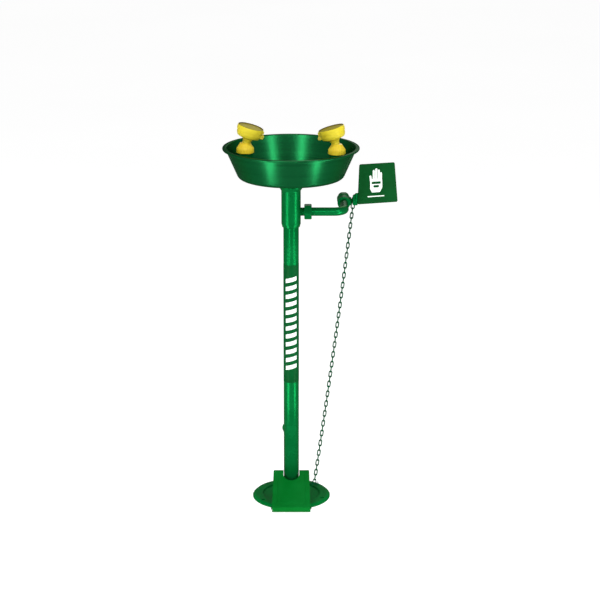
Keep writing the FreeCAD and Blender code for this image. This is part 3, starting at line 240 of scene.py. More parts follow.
def lathe(profile, steps=96, closed=True, flutes=0, depth=0.0, band=None):
    """The (radius, height) profile turned about Z: x = r cos a, y = r sin a, z = height.
    Flutes take depth * (1 - cos(flutes * a)) / 2 off the radius between the band's two heights."""
    profile = np.array(profile, float)
    angle = np.linspace(0, TAU, steps, endpoint=False)
    radius = np.repeat(profile[:, :1], steps, axis=1)
    if flutes:
        low, high = band
        inside = (profile[:, 1] >= low) & (profile[:, 1] <= high)
        radius = radius - inside[:, None] * depth * (1 - np.cos(flutes * angle))[None, :] / 2
    height = np.repeat(profile[:, 1:], steps, axis=1)
    points = np.stack([radius * np.cos(angle), radius * np.sin(angle), height], -1)
    return Surface(points, grid_faces(len(profile), steps, closed, True))


def hex_ring(across, bore, low, high, roll=0.0, step=None, steps=96, most=99.0):
    """A hexagonal nut: radius = across / 2 / cos(angle to the nearest flat), no more than a most
    radius, held inside a 30 degree cone at both ends, around a round bore. A step (height, bore)
    narrows or widens its upper part."""
    flat = across / 2
    angle = np.linspace(0, TAU, steps, endpoint=False)
    from_flat = (angle + math.pi / 6) % (math.pi / 3) - math.pi / 6
    hexagon = np.minimum(flat / np.cos(from_flat), most)
    spare = hexagon.max() - flat
    rise = spare * math.tan(math.radians(30))
    rows = []
    for share in (0.0, 0.25, 0.5, 0.75, 1.0):
        rows.append((low + share * rise, np.minimum(hexagon, flat + share * spare)))
    for share in (1.0, 0.75, 0.5, 0.25, 0.0):
        rows.append((high - share * rise, np.minimum(hexagon, flat + share * spare)))
    step_height, upper = step or ((low + high) / 2, bore)
    for height, radius in ((high, upper + 0.4), (high - 0.4, upper), (step_height, upper),
                           (step_height, bore), (low + 0.4, bore), (low, bore + 0.4)):
        rows.append((height, np.full(steps, radius)))
    points = np.array([np.stack([r * np.cos(angle), r * np.sin(angle), np.full(steps, z)], -1)
                       for z, r in rows])
    return Surface(points, grid_faces(len(rows), steps, True, True)).turned((0, 0, 1), roll)


def carried(path, section, closed=False):
    """The section's (side, up) points carried along the path; each frame is the last one turned
    by the least angle onto the new direction. Open ends are closed by a flat face."""
    path = np.array(path, float)
    if closed:
        ahead = np.roll(path, -1, axis=0) - np.roll(path, 1, axis=0)
    else:
        ahead = np.gradient(path, axis=0)
    ahead /= np.linalg.norm(ahead, axis=1)[:, None]
    start = np.cross(ahead[0], (0.0, 0.0, 1.0))
    if np.linalg.norm(start) < 1e-3:
        start = np.cross(ahead[0], (0.0, 1.0, 0.0))
    side = start / np.linalg.norm(start)
    sides = []
    for direction in ahead:
        side = side - direction * (side @ direction)
        side /= np.linalg.norm(side)
        sides.append(side)
    sides = np.array(sides)
    ups = np.cross(sides, ahead)
    section = np.array(section, float)
    points = (path[:, None] + sides[:, None] * section[None, :, :1]
              + ups[:, None] * section[None, :, 1:])
    faces = [tuple(f) for f in grid_faces(len(path), len(section), closed, True)]
    if not closed:
        count = len(section)
        last = (len(path) - 1) * count
        faces.append(tuple(range(count)))
        faces.append(tuple(last + k for k in reversed(range(count))))
    return Surface(points, faces)


def circle(radius, steps=24):
    """Points at (radius cos a, radius sin a)."""
    angle = np.linspace(0, TAU, steps, endpoint=False)
    return np.stack([radius * np.cos(angle), radius * np.sin(angle)], 1)


def bar_line(corners, bends, steps=10, straight=6):
    """Straight runs joined by arcs of the given bends, with points along the runs."""
    radii = [0] + list(bends) + [0]
    line = round_corners(corners, radii, steps, closed=False)
    pieces = []
    for a, b in zip(line[:-1], line[1:]):
        count = straight if np.linalg.norm(b - a) > 12 else 1
        share = np.linspace(0, 1, count, endpoint=False)[:, None]
        pieces.append(a + (b - a) * share)
    return np.vstack(pieces + [line[-1:]])


def slab(outline, thickness, edge=0.5, steps=3):
    """A flat plate in the XZ plane from y = 0 to y = thickness. Its rim is the outline pulled in
    along its own normals by edge * (1 - sin) where the depth is edge * (1 - cos), so both edges are
    round."""
    outline = np.array(outline, float)
    ahead = np.roll(outline, -1, axis=0) - np.roll(outline, 1, axis=0)
    ahead /= np.linalg.norm(ahead, axis=1)[:, None]
    following = np.roll(outline, -1, axis=0)
    area = np.sum(outline[:, 0] * following[:, 1] - following[:, 0] * outline[:, 1])
    inward = np.stack([-ahead[:, 1], ahead[:, 0]], 1) * np.sign(area)
    angle = np.linspace(0, math.pi / 2, steps + 1)
    depth = list(edge * (1 - np.cos(angle))) + list(thickness - edge * (1 - np.cos(angle[::-1])))
    inset = list(edge * (1 - np.sin(angle))) + list(edge * (1 - np.sin(angle[::-1])))
    rows = []
    for y, pull in zip(depth, inset):
        ring = outline + inward * pull
        rows.append(np.stack([ring[:, 0], np.full(len(ring), y), ring[:, 1]], 1))
    count = len(outline)
    faces = [tuple(f) for f in grid_faces(len(rows), count, False, True)]
    faces.append(tuple(range(count)))
    faces.append(tuple((len(rows) - 1) * count + k for k in reversed(range(count))))
    return Surface(np.array(rows), faces)


def block(size, centre, edge=0.4):
    """A small bar with rounded long edges: a rounded rectangle given its thickness."""
    half_x, half_z = size[0] / 2, size[2] / 2
    corners = [(-half_x, -half_z), (half_x, -half_z), (half_x, half_z), (-half_x, half_z)]
    outline = round_corners(corners, [edge] * 4, 3)
    return slab(outline, size[1], edge).moved(centre[0], centre[1] - size[1] / 2, centre[2])


def ridged(radius, low, high, pitch, depth):
    """A screw thread's outline as (radius, height) pairs: flanks between the crest and the root."""
    heights = np.arange(low, high, pitch / 2)
    crest = np.where(np.arange(len(heights)) % 2 == 0, radius, radius - depth)
    return [(r, z) for r, z in zip(crest, heights)]


def loop(half, length, steps=5):
    """A link's centre line in the XZ plane: two half circles of the given half width, joined by
    straight runs, hanging down from the origin."""
    straight = length - 2 * half
    top = np.linspace(0, math.pi, steps + 1)
    upper = np.stack([half * np.cos(top), 0 * top, half * np.sin(top) - half], 1)
    lower = np.stack([-half * np.cos(top), 0 * top, -half * np.sin(top) - half - straight], 1)
    return np.vstack([upper, lower])


def aimed(surface, origin, down, twist):
    """Turns a hanging shape about its own length, swings -Z onto the downward line and moves it.
    The swing's axis is -Z x down, and its angle is the arcsine of that product's length."""
    surface = surface.turned((0, 0, 1), twist)
    across = np.cross((0.0, 0.0, -1.0), down)
    degrees = math.degrees(math.asin(np.linalg.norm(across)))
    return surface.turned(across, degrees).moved(*origin)


def settle(piece, crease):
    """Keeps what the piece's modifiers make of its mesh, with its sharp edges marked."""
    graph = bpy.context.evaluated_depsgraph_get()
    mesh = bpy.data.meshes.new_from_object(piece.evaluated_get(graph))
    piece.modifiers.clear()
    piece.data = mesh
    mesh.shade_smooth()
    mesh.set_sharp_from_angle(angle=math.radians(crease))


def to_mesh(name, surface, sheet=False):
    """A surface as a mesh in metres, its seams joined and its faces turned outward. An open sheet's
    faces are turned so that, weighed by area, they look up."""
    mesh = bpy.data.meshes.new(name)
    mesh.from_pydata((surface.points * MM).tolist(), [], surface.faces)
    work = bmesh.new()
    work.from_mesh(mesh)
    bmesh.ops.remove_doubles(work, verts=work.verts, dist=1e-6)
    bmesh.ops.dissolve_degenerate(work, edges=work.edges, dist=1e-7)
    bmesh.ops.recalc_face_normals(work, faces=work.faces)
    if sheet and sum(f.normal.z * f.calc_area() for f in work.faces) < 0:
        bmesh.ops.reverse_faces(work, faces=work.faces)
    work.to_mesh(mesh)
    work.free()
    return mesh


def lay(name, surface, body, slot, material, stands_for=(), crease=32, holes=None, sheet=0.0,
        edge=0.0):
    """Puts a surface into the scene as a piece on its body, smooth except at edges over the crease
    angle. Holes are solids taken out of it, sheet is the thickness an open surface gets on its
    inner side, and edge is the width its sharp edges are rounded by."""
    piece = bpy.data.objects.new(name, to_mesh(name, surface, sheet > 0))
    bpy.context.scene.collection.objects.link(piece)
    if holes:
        drill = bpy.data.objects.new(name + "_holes", to_mesh(name + "_holes", holes))
        bpy.context.scene.collection.objects.link(drill)
        bore = piece.modifiers.new("holes", "BOOLEAN")
        bore.operation = "DIFFERENCE"
        bore.solver = "EXACT"
        bore.object = drill
    if sheet:
        thick = piece.modifiers.new("sheet", "SOLIDIFY")
        thick.thickness = sheet * MM
        thick.offset = -1.0
        thick.use_even_offset = True
    if edge:
        rounding = piece.modifiers.new("edge", "BEVEL")
        rounding.width = edge * MM
        rounding.segments = 3
        rounding.limit_method = "ANGLE"
        rounding.angle_limit = math.radians(38)
    settle(piece, crease)
    if holes:
        bpy.data.objects.remove(drill)
    piece.data.materials.clear()
    piece.data.materials.append(material)
    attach(piece, body)
    if stands_for:
        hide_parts(*stands_for)
    return piece


def green(name, surface, stands_for=(), material=None, body="stand", **how):
    """A piece in the green coat, on the stand unless another body is named."""
    return lay(name, surface, body, "green_coat", material or coat_green, stands_for, **how)


# ---------------------------------------------------------------- stand

POLE_R = 20.0
ARM_Z = 781.0
VALVE = (138.0, 117.0, ARM_Z)
BOLT_ANGLES = (-25, 95, 215)
BOLT_CIRCLE_R = 90
BOLT_HOLE_R = 5.5
WASTE_Z = 175
WASTE_ANGLE = 100
LABEL_LOW = 323.5
LABEL_HIGH = 642.5


def along_x(surface):
    """Turns a shape made about Z so that its +Z points along +X."""
    return surface.turned((0, 1, 0), 90)


def along_y(surface):
    """Turns a shape made about Z so that its +Z points along +Y."""
    return surface.turned((1, 0, 0), -90)


flange_profile = round_corners(
    [(17.5, 0), (103, 0), (103, 2.5), (97, 8), (76, 8), (74, 4), (28, 4), (26, 16), (20, 16),
     (20, 3), (17.5, 3)], [0, 0, 1, 3, 2, 1.2, 3, 2, 0, 0, 0], 4)
bolt_holes = NOTHING
for hole_angle in BOLT_ANGLES:
    hole = lathe([(0, -1), (BOLT_HOLE_R, -1), (BOLT_HOLE_R, 9), (0, 9)], 40)
    hole = hole.moved(BOLT_CIRCLE_R, 0, 0)
    bolt_holes = bolt_holes.with_shape(hole.turned((0, 0, 1), hole_angle))
green("foot_flange", lathe(flange_profile, 144), ["floor_flange"], flange_green, holes=bolt_holes)


def bead(centre_r, height, size):
    """A weld bead round the pole: a circle of the given size carried round the axis."""
    return lathe(circle(size, 12) + np.array([centre_r, height]), 96)


green("foot_weld", bead(20.9, 16.2, 1.7), material=cast_green)

pole_profile = round_corners([(17.5, 3), (20, 3), (20, 766), (17.5, 766)], [0.4] * 4, 2)
green("pole_tube", lathe(pole_profile, 96), ["pedestal_pipe"])

spigot_profile = [(13, 17), (16.5, 17), (16.5, 29.4), (16.1, 30)]
spigot_profile += ridged(16.2, 30.6, 49.4, 2.3, 0.9) + [(15.3, 50), (13.4, 50), (13, 49.6)]
spigot = along_x(lathe(spigot_profile, 72)).turned((0, 0, 1), WASTE_ANGLE).moved(0, 0, WASTE_Z)
green("waste_nozzle", spigot, ["waste_spigot"], crease=50)

# The spigot's weld runs where its circle meets the pole: x = sqrt(POLE_R^2 - y^2)
SEAM_R = 16.9
seam_angle = np.linspace(0, TAU, 48, endpoint=False)
seam_y = SEAM_R * np.cos(seam_angle)
seam_path = np.stack([np.sqrt(POLE_R ** 2 - seam_y ** 2), seam_y, SEAM_R * np.sin(seam_angle)], 1)
seam = carried(seam_path, circle(1.4, 10), closed=True)
green("waste_weld", seam.turned((0, 0, 1), WASTE_ANGLE).moved(0, 0, WASTE_Z), material=cast_green)

body_profile = round_corners(
    [(20, 741), (22.5, 741), (25, 750), (25, 837), (31, 846), (31, 849), (19, 849), (19, 773),
     (17.5, 768), (20, 768)], [0, 1, 4, 5, 1, 1, 0, 0, 0, 0], 5)
green("upper_sleeve", lathe(body_profile, 96), ["upper_body"])

bowl_profile = round_corners(
    [(19, 850.5), (31, 850.5), (134.85, 872.5), (166.5, 945), (175, 945), (175, 950), (164.9, 950),
     (133.25, 874.1), (31, 852.1), (19, 852.1)], [0, 0, 14, 1.5, 2.25, 2.25, 2.5, 12.4, 0, 0], 7)
green("bowl_shell", lathe(bowl_profile, 192), ["bowl"], spun_green)

riser_profile = round_corners([(8, 792.5), (10.65, 792.5), (10.65, 877), (8, 877)], [0.3] * 4, 2)
green("riser_tube", lathe(riser_profile, 64), ["riser_pipe"])

# The label's film, with plain slanted bars
label_profile = [(20.02, LABEL_LOW), (20.3, LABEL_LOW), (20.3, LABEL_HIGH), (20.02, LABEL_HIGH)]
lay("label_sleeve", lathe(label_profile, 96), "stand", "label_film", label_green, ["label_band"])


def slant_bar(low, height, lean, half_angle):
    """A bar on the film: angle runs over +-half_angle about the front, and both long edges climb
    by lean over that run; its section is a thin rectangle on the film's radius."""
    share = np.linspace(0, 1, 25)
    angle = math.radians(-90) + np.radians(half_angle) * (2 * share - 1)
    rows = []
    for radius, up in ((20.32, 0), (20.42, 0), (20.42, height), (20.32, height)):
        climb = low + up + lean * share
        rows.append(np.stack([radius * np.cos(angle), radius * np.sin(angle), climb], 1))
    points = np.array(rows).transpose(1, 0, 2)
    faces = [tuple(f) for f in grid_faces(len(share), 4, False, True)]
    last = 4 * (len(share) - 1)
    return Surface(points, faces + [(0, 1, 2, 3), (last + 3, last + 2, last + 1, last)])


BAR_COUNT = 12
BAR_STEP = 21.5
bars = NOTHING
for bar_index in range(BAR_COUNT):
    bars = bars.with_shape(slant_bar(358 + BAR_STEP * bar_index, 11.0, 8.0, 43))
lay("label_bars", bars, "stand", "white_film", film_white)

# ---------------------------------------------------------------- side arm and valve

nipple_profile = [(8, 12.5), (10.6, 12.5)] + ridged(11.1, 14, 33.4, 1.8, 0.7)
nipple_profile += [(11, 34), (15, 34), (15, 44), (8, 44)]
nipple = along_x(lathe(nipple_profile, 64))
green("arm_nipple", nipple.moved(0, 0, ARM_Z), ["side_nipple"], crease=50)
union = along_x(hex_ring(36, 15, 34, 53, step=(48.5, 11)))
green("arm_union", union.moved(0, 0, ARM_Z), ["union_nut"])
arm_path = bar_line([(45.5, 0, ARM_Z), (138, 0, ARM_Z), (138, 103, ARM_Z)], [29], 14)
green("arm_tube", carried(arm_path, circle(11, 40)), ["side_arm_pipe"])

front_profile = round_corners([(8, -25), (16.9, -25), (16.9, -9), (8, -9)], [0.6, 1.6, 1.6, 0], 4)
valve_front = along_y(lathe(front_profile, 72))
barrel_profile = round_corners([(7, -9.5), (15.5, -9.5), (15.5, 12.2), (7, 12.2)], [0, 1, 1, 0], 3)
boss_profile = round_corners([(4.1, 2), (11.8, 2), (11.8, 16.6), (4.1, 16.6)], [0, 0, 1, 0.3], 3)
valve_shape = valve_front.with_shape(along_y(lathe(barrel_profile, 72)))
valve_shape = valve_shape.with_shape(along_x(lathe(boss_profile, 64)))
green("valve_barrel", valve_shape.moved(*VALVE), ["valve_body"], cast_green)
inlet = along_y(hex_ring(33, 6.8, 12, 34, 30, step=(20, 9.5), most=17.3))
green("valve_inlet", inlet.moved(*VALVE), ["valve_end_cap"], cast_green)
gland_profile = round_corners([(4.1, 19.2), (7, 19.2), (7, 22.6), (4.1, 22.6)], [0, 0, 0.6, 0.3], 3)
bonnet = hex_ring(20, 4.1, 16.6, 19.6).with_shape(lathe(gland_profile, 48))
green("valve_gland", along_x(bonnet).moved(*VALVE), ["bonnet_nut"], cast_green)

# ---------------------------------------------------------------- lever and push plate

EYE = np.array([165.5, 129.875, 789.266])
PLATE_TURN = 16
PLATE_PLACE = (174, 99, 776)
WEB_SLOPE = -32.7


def on_plate(surface):
    """Carries a shape drawn in the XZ plane to the push plate's place."""
    return surface.turned((0, 0, 1), PLATE_TURN).moved(*PLATE_PLACE)


hub_profile = round_corners([(4.0, 0), (9, 0), (9, 13), (4.0, 13)], [0.2, 1, 1, 0.2], 3)
lever_shape = along_x(lathe(hub_profile, 64)).moved(161, 117, ARM_Z)
cheek_outline = round_corners([(161, 773), (174, 773), (174, 806), (161, 799)], [3, 1, 1, 3], 5)
lever_shape = lever_shape.with_shape(slab(cheek_outline, 8, 0.8).moved(0, 102, 0))
bar_outline = round_corners([(-5, 8), (62, 8), (62, 30), (-5, 30)], [1, 6, 6, 1], 5)
lever_shape = lever_shape.with_shape(on_plate(slab(bar_outline, 4, 0.8).moved(0, 2.5, 0)))
web_outline = round_corners([(5, -4), (11.5, -4), (11.5, 4), (5, 4)], [0.5] * 4, 3)
web = slab(web_outline, 2, 0.3).turned((0, 1, 0), WEB_SLOPE).turned((0, 0, 1), 90)
web = web.moved(166.5, 117, ARM_Z)
eye_profile = round_corners([(3.2, -1), (6.2, -1), (6.2, 1), (3.2, 1)], [0.5] * 4, 3)
eye_ring = along_x(lathe(eye_profile, 40)).moved(*EYE)
lever_shape = lever_shape.with_shape(web).with_shape(eye_ring)
green("lever_bracket", lever_shape, ["lever_arm"], cast_green, body="lever")

plate_outline = round_corners([(0, 0), (111, 0), (101, 107), (4, 107)], [4] * 4, 6)
plate_shape = slab(plate_outline, 2.5, 0.7)
stud_profile = [(0, 2), (3, 2)] + ridged(3.0, 6, 12.6, 1.2, 0.4) + [(2.4, 13), (0, 13)]
for stud_at in (18, 48):
    plate_shape = plate_shape.with_shape(along_y(lathe(stud_profile, 24)).moved(stud_at, 0, 19))
lay("push_panel", on_plate(plate_shape), "lever", "dark_coat", plate_green, ["push_plate"])
sign_bars = NOTHING
for bar_width, bar_up in ((25, 55.5), (15, 46.0)):
    wide, tall = bar_width / 2, 3.3
    bar_outline = round_corners([(-wide, -tall), (wide, -tall), (wide, tall), (-wide, tall)],
                                [1.4] * 4, 3)
    sign_bars = sign_bars.with_shape(slab(bar_outline, 0.25, 0.05).moved(50.4, -0.55, bar_up))
lay("sign_bars", on_plate(sign_bars), "lever", "dark_coat", plate_green)

# ---------------------------------------------------------------- spray heads

SPACING = 117.0
BELL_LOW = 933.5
YOKE_Z = 886.0
YOKE_TURN = -4.5
HEAD_TILT = 16
DRUM_SHIFT = 7.6
DRUM_UP = 41


def on_yoke(surface):
    """Turns the heads and their pipes about the pole's axis by the yoke's own turn."""
    return surface.turned((0, 0, 1), YOKE_TURN)


def on_drum(surface, side):
    """Carries a shape from the drum's own frame, +X inward and +Z along its axis, to its head."""
    surface = surface.turned((0, 1, 0), HEAD_TILT)
    surface = surface.moved(DRUM_SHIFT - SPACING, 0, BELL_LOW + DRUM_UP)
    if side > 0:
        surface = surface.turned((0, 0, 1), 180)
    return on_yoke(surface)


def ribs(radius, low, pitch, count=3, proud=0.5, width=1.2):
    """Half-round ribs as (radius, height) pairs: radius + proud * sin(pi * share), share running
    from 0 to 1 over each rib's width."""
    share = np.tile(np.linspace(0, 1, 5), count)
    start = low + pitch * np.repeat(np.arange(count), 5)
    return np.stack([radius + proud * np.sin(math.pi * share), start + share * width], 1)


bell_profile = round_corners([(0, 0), (22.5, 0), (22.5, 12), (13, 26), (0, 26)], [0, 2, 7, 2, 0], 7)
drum_lower = round_corners([(0, -34), (10.5, -34), (10.5, -11), (14, -4), (28.8, 1), (31.8, 8),
                            (31.8, 9)], [0, 0, 4, 3, 5, 6, 0], 5, closed=False)
drum_upper = round_corners([(31.8, 15.4), (31.8, 24.5), (29.3, 24.5), (29.3, 21.5), (27.3, 21.5),
                            (27.3, 10.5), (0, 10.5)], [0, 0.6, 0.3, 0, 0.3, 2, 0], 3, closed=False)
drum_profile = np.vstack([drum_lower, ribs(31.8, 9.2, 2.1), drum_upper])
lug_outline = round_corners([(26.8, 4), (38.8, 5.4), (38.8, 12.6), (26.8, 14)], [0, 3, 3, 0], 5)
cap_skirt = round_corners([(30.4, 24.9), (32.2, 24.9), (32.2, 15.9), (33.7, 15.9), (33.7, 17.6)],
                          [0, 0, 0, 0.5, 0], 3, closed=False)
cap_rim = round_corners([(33.7, 25.2), (33.7, 27.9), (32.2, 27.9), (30.4, 24.9)], [0, 1.4, 0, 0], 4,
                        closed=False)
cap_profile = np.vstack([cap_skirt, ribs(33.7, 18.2, 2.2), cap_rim[:-1]])
face_profile = round_corners([(0, 24.9), (30.6, 24.9), (30.6, 25.9), (0, 25.9)], [0, 0, 0.2, 0], 3)
edge_profile = round_corners([(30.45, 24.9), (32.6, 27.4), (32.6, 28.1), (31.5, 28.1),
                              (30.45, 25.4)], [0.2, 0.4, 0.4, 0.4, 0.2], 3)
strap = block((2.4, 7, 11.9), (35.2, 0, 14.95), 0.5)
bridge = block((3.4, 7, 5), (34.6, 0, 21.4), 0.5)
knuckle_profile = round_corners([(1.6, -3.5), (3.4, -3.5), (3.4, 3.5), (1.6, 3.5)],
                                [0.2, 0.5, 0.5, 0.2], 3)
knuckle = along_y(lathe(knuckle_profile, 32)).moved(35.6, 0, 9)

for side_name, side in (("left", -1), ("right", 1)):
    head = side_name + "_spray_head"
    cap = side_name + "_cap"
    bell = lathe(bell_profile, 192, flutes=20, depth=0.9, band=(2.2, 23.5))
    bell = bell.moved(side * SPACING, 0, BELL_LOW)
    lay(side_name + "_bell", on_yoke(bell), "stand", "yellow_plastic", bell_yellow, [head])
    drum = lathe(drum_profile, 96)
    for lug_y in (-6.4, 3.9):
        drum = drum.with_shape(slab(lug_outline, 2.5, 0.5).moved(0, lug_y, 0))
    lay(side_name + "_drum", on_drum(drum, side), "stand", "yellow_plastic", moulded_yellow, [head])
    lid = lathe(cap_profile, 96).with_shape(strap).with_shape(bridge).with_shape(knuckle)
    lay(side_name + "_lid", on_drum(lid, side), cap, "yellow_plastic", moulded_yellow,
        [side_name + "_dust_cap"])
    # The lid's face is laid in the darker painted-shade yellow.
    lay(side_name + "_lid_face", on_drum(lathe(face_profile, 96), side), cap, "yellow_plastic",
        face_yellow)
    # The lid's raised rim is laid in the painted-shadow olive.
    lay(side_name + "_lid_edge", on_drum(lathe(edge_profile, 96), side), cap, "yellow_plastic",
        edge_olive)
    nut = hex_ring(36, 10.65, BELL_LOW - 15, BELL_LOW, 15).moved(side * SPACING, 0, 0)
    green(side_name + "_nut", on_yoke(nut), [side_name + "_head_nut"])
    pipe_path = bar_line([(side * 16, 0, YOKE_Z), (side * SPACING, 0, YOKE_Z),
                          (side * SPACING, 0, BELL_LOW + 9)], [24], 12)
    branch = carried(pipe_path, circle(10.65, 36))
    green(side_name + "_branch", on_yoke(branch), [side_name + "_yoke_pipe"])

tee_run = round_corners([(10.65, -24), (15.6, -24), (15.6, -19), (14.6, -17.5), (14.6, 17.5),
                         (15.6, 19), (15.6, 24), (10.65, 24)], [0, 1.2, 1, 1, 1, 1, 1.2, 0], 3)
tee_leg = round_corners([(10.65, -17), (15.6, -17), (15.6, -12), (14.6, -10), (14.6, -2),
                         (10.65, -2)], [0, 1.2, 1, 1, 0, 0], 3)
tee_shape = along_x(lathe(tee_run, 72)).with_shape(lathe(tee_leg, 72)).moved(0, 0, YOKE_Z)
green("yoke_fitting", on_yoke(tee_shape), ["yoke_tee"], cast_green)

# ---------------------------------------------------------------- treadle

HINGE = (0, -117.5, 11.5)
SLOPE = 24
TOP = 8.0
FRONT = -6.85
REAR = 130.5
CORNER = 3.0
NOTCH_R = 21.0
NOTCH_CENTRE = 92.8 + NOTCH_R
FOLD_IN = 13.0
FOLD_DEPTH = 0.5
EAR_R = 6.5
fold_y = FRONT + FOLD_IN
fixed_rows = np.array([20, 8, fold_y + 0.9, fold_y + 0.4, fold_y - 0.4, fold_y - 0.9, 3, 0, -2, -4,
                       -5.5, FRONT])


def half_width(y):
    """Half the sheet's width at y: it tapers evenly by 3 mm from lip to rear edge, and the rear
    corners take off CORNER - sqrt(CORNER^2 - into^2), into being how far y is into the corner."""
    straight = 50.5 - 3.0 * (y + 14.85) / (REAR + 14.85)
    into = np.clip(y - (REAR - CORNER), 0, CORNER)
    return straight - (CORNER - np.sqrt(CORNER ** 2 - into ** 2))


def fold(x, y):
    """How far the sheet is pressed down: FOLD_DEPTH along a line FOLD_IN from the side and front
    edges, and nothing elsewhere."""
    from_side = half_width(y) - np.abs(x)
    from_front = y - FRONT
    side_line = (np.abs(from_side - FOLD_IN) < 0.5) & (from_front > FOLD_IN - 0.6) & (y < REAR - 4)
    front_line = (np.abs(from_front - FOLD_IN) < 0.5) & (from_side > FOLD_IN - 0.6)
    return -FOLD_DEPTH * (side_line | front_line)


def top_band(x_of, rear_of, tongue):
    """One band of the sheet: columns at x_of(y), rows y from the tongue rows over an even run to
    the fixed rows, z = TOP + fold(x, y), and a last row for the lip bent down in front."""
    share = np.linspace(0, 1, 15)[:-1, None]
    columns = x_of(np.array([0.0])).shape[1]
    start = np.broadcast_to(rear_of, (1, columns))
    rows = start + (fixed_rows[0] - start) * share
    rows = np.vstack([np.repeat(tongue[:, None], columns, 1), rows,
                      np.repeat(fixed_rows[:, None], columns, 1)])
    grids = [x_of(row) for row in rows]
    x = np.vstack([grid[0] if len(grid) == 1 else np.diagonal(grid) for grid in grids])
    z = TOP + fold(x, rows)
    foot = np.stack([x[-1], np.full(columns, -12.1), np.full(columns, -3.9)], 1)
    points = np.concatenate([np.stack([x, rows, z], -1), foot[None]], 0)
    return Surface(points, grid_faces(points.shape[0], columns))


def side_columns(side):
    """Columns of a side band: x = side * (half_width(y) - inset), the last one along the notch."""
    insets = np.array([0, FOLD_IN - 0.9, FOLD_IN - 0.4, FOLD_IN + 0.4, FOLD_IN + 0.9])

    def columns(y):
        half = half_width(np.atleast_1d(y))[:, None]
        return side * np.hstack([half - insets, np.full((len(half), 1), NOTCH_R)])
    return columns


middle_x = NOTCH_R * np.sin(np.linspace(-math.pi / 2, math.pi / 2, 25))
tongue_rows = np.concatenate([REAR - np.array([0, 0.3, 0.9, 1.8, CORNER]),
                              np.linspace(REAR - CORNER, NOTCH_CENTRE, 8)[1:-1]])
middle_rear = NOTCH_CENTRE - np.sqrt(np.clip(NOTCH_R ** 2 - middle_x ** 2, 0, None))
treadle_top = top_band(lambda y: middle_x[None, :], middle_rear, np.zeros(0))
cheek_rows = np.concatenate([tongue_rows, NOTCH_CENTRE + (fixed_rows[0] - NOTCH_CENTRE)
                             * np.linspace(0, 1, 15)[:-1], fixed_rows])

# The cheeks hang from the sheet's sides, with a round ear about the hinge
cheek_low = np.interp(cheek_rows, [FRONT, -4.5, 58, 72, REAR], [5.4, -5, -5, -12, -12])
ear = -np.sqrt(np.clip(EAR_R ** 2 - cheek_rows ** 2, 0, None))
cheek_low = np.minimum(cheek_low, np.where(np.abs(cheek_rows) < EAR_R, ear, TOP))
for side in (-1, 1):
    treadle_top = treadle_top.with_shape(top_band(side_columns(side), NOTCH_CENTRE, tongue_rows))
    drop = np.linspace(0, 1, 4)[None, :]
    cheek_z = TOP + (cheek_low[:, None] - TOP) * drop
    cheek_x = np.repeat(side * half_width(cheek_rows)[:, None], 4, 1)
    cheek = np.stack([cheek_x, np.repeat(cheek_rows[:, None], 4, 1), cheek_z], -1)
    treadle_top = treadle_top.with_shape(Surface(cheek, grid_faces(len(cheek_rows), 4)))
lay("treadle_sheet", treadle_top.turned((1, 0, 0), SLOPE).moved(*HINGE), "treadle", "treadle_coat",
    treadle_green, ["treadle_plate"], sheet=2.5, edge=0.5)

# ---------------------------------------------------------------- chain

FOOT = np.array([60.5, -29.96, 44.02])
DOWN = (FOOT - EYE) / np.linalg.norm(FOOT - EYE)
HOOK_LENGTH = 28.0
LINK_COUNT = 55
WIRE_R = 1.5
PLAY = 0.25
BOW = 2.6
SHACKLE_H = 13.0

hook = carried(loop(4.2, HOOK_LENGTH + PLAY + 2 * WIRE_R, 10), circle(WIRE_R, 12), closed=True)
lay("hook_link", aimed(hook, EYE, DOWN, 0), "chain", "chain_coat", chain_green, ["chain_hook"])

# The links follow the straight line, bowed sideways by BOW * 4 * share * (1 - share)
top_link = EYE + DOWN * HOOK_LENGTH
pitch = (np.linalg.norm(FOOT - top_link) - SHACKLE_H) / LINK_COUNT
one_link = carried(loop(3.5, pitch + PLAY + 2 * WIRE_R, 6), circle(WIRE_R, 8), closed=True)
along = np.arange(LINK_COUNT + 1) / LINK_COUNT
hang = top_link + DOWN * pitch * LINK_COUNT * along[:, None]
hang[:, 0] += BOW * 4 * along * (1 - along)
links = NOTHING
for index in range(LINK_COUNT):
    lean = hang[index + 1] - hang[index]
    lean /= np.linalg.norm(lean)
    links = links.with_shape(aimed(one_link, hang[index], lean, 90 * ((index + 1) % 2)))
lay("chain_run", links, "chain", "chain_coat", chain_green, ["chain_links"], crease=60)

bail_path = bar_line([(-5.2, 0, -SHACKLE_H), (-2.6, 0, 0), (2.6, 0, 0), (5.2, 0, -SHACKLE_H)],
                     [2.2, 2.2])
shackle = aimed(carried(bail_path, circle(1.2, 12)), FOOT - DOWN * SHACKLE_H, DOWN, 0)
ring_profile = round_corners([(5, 0), (7, 0), (7, 2), (5, 2)], [0.5] * 4, 3)
for ring_x in (-6.2, 4.2):
    ring = along_x(lathe(ring_profile, 40)).moved(ring_x, 0, 0)
    shackle = shackle.with_shape(ring.moved(*FOOT))
lay("foot_shackle", shackle, "chain", "chain_coat", chain_green, ["chain_shackle"])

# ---------------------------------------------------------------- finishes on the kept nodes

PAINTED_OVER = ("chain_pin", "chain_pin_ring", "treadle_hinge_pin", "hinge_clips",
                "pole_set_screws")
for node in NODES.values():
    for index, old in enumerate(node.data.materials):
        slot_name = old.name.split(".")[0]
        if node.name in PAINTED_OVER:
            node.data.materials[index] = chain_green
        elif slot_name in FINISH_OF:
            node.data.materials[index] = FINISH_OF[slot_name]

# ---------------------------------------------------------------- studio

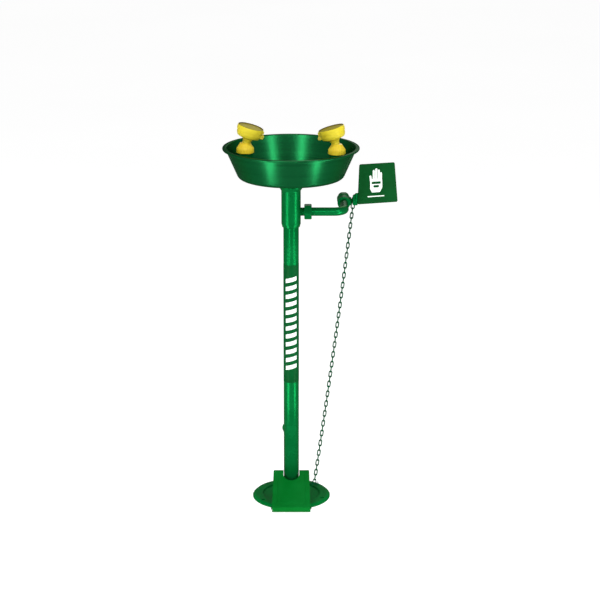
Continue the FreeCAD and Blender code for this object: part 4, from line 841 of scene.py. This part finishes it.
floor_mesh = bpy.data.meshes.new("studio_floor")
REACH = 30.0
floor_corners = [(-REACH, -REACH, 0), (REACH, -REACH, 0), (REACH, REACH, 0), (-REACH, REACH, 0)]
floor_mesh.from_pydata(floor_corners, [], [(0, 1, 2, 3)])
floor = bpy.data.objects.new("studio_floor", floor_mesh)
bpy.context.scene.collection.objects.link(floor)
floor_paint, nodes, wires, shader, place = node_tree("floor_paint")
tone = grain(nodes, wires, place, (1, 1, 1), 0.8)
greys = [(0.3, (0.50, 0.50, 0.50)), (0.7, (0.53, 0.53, 0.53))]
wires.new(ramp(nodes, wires, tone, greys), shader.inputs["Base Color"])
shader.inputs["Roughness"].default_value = 0.8
shader.inputs["Specular IOR Level"].default_value = 0.0
shader.inputs["Emission Color"].default_value = (1, 1, 1, 1)
shader.inputs["Emission Strength"].default_value = 0.84
floor_mesh.materials.append(floor_paint)
floor.visible_glossy = False


def soft_light(name, place, aim, width, height, power):
    """A rectangular soft box at a place, turned to face a point."""
    lamp = bpy.data.lights.new(name, "AREA")
    lamp.shape = "RECTANGLE"
    lamp.size = width
    lamp.size_y = height
    lamp.energy = power
    box = bpy.data.objects.new(name, lamp)
    box.location = place
    box.rotation_euler = (Vector(aim) - Vector(place)).to_track_quat("-Z", "Y").to_euler()
    box.visible_camera = False
    bpy.context.scene.collection.objects.link(box)


soft_light("left_box", (-1.10, -2.45, 2.0), (0, 0, 0.8), 0.45, 3.2, 36)
soft_light("right_box", (1.95, -2.15, 2.0), (0, 0, 0.8), 0.40, 3.2, 36)
soft_light("left_bounce", (-0.70, -0.66, 0.25), (0, 0, 0.75), 0.30, 0.9, 6.0)
soft_light("right_bounce", (0.85, -0.55, 0.25), (0, 0, 0.75), 0.25, 0.9, 6.0)
soft_light("back_box", (0.6, 2.6, 2.2), (0, 0, 0.7), 1.4, 1.4, 14)
soft_light("front_strip", (0.25, -3.4, 1.75), (0.08, 0, 0.8), 0.7, 0.3, 9)
soft_light("top_box", (0.0, -1.2, 3.2), (0, 0, 0.5), 1.2, 1.2, 10)

world = bpy.data.worlds.new("studio")
world.use_nodes = True
world.node_tree.nodes["Background"].inputs["Color"].default_value = (1, 1, 1, 1)
world.node_tree.nodes["Background"].inputs["Strength"].default_value = 0.26
bpy.context.scene.world = world
bpy.context.scene.view_settings.view_transform = "Standard"

lens = bpy.data.cameras.new("camera")
lens.sensor_width = 36.0
lens.lens = 114.6
lens.clip_end = 100
camera = bpy.data.objects.new("camera", lens)
camera.location = (0.0198, -4.7741, 1.9337)
camera.rotation_euler = (math.radians(90 - 16.224), 0, math.radians(-0.0385))
bpy.context.scene.collection.objects.link(camera)
bpy.context.scene.camera = camera
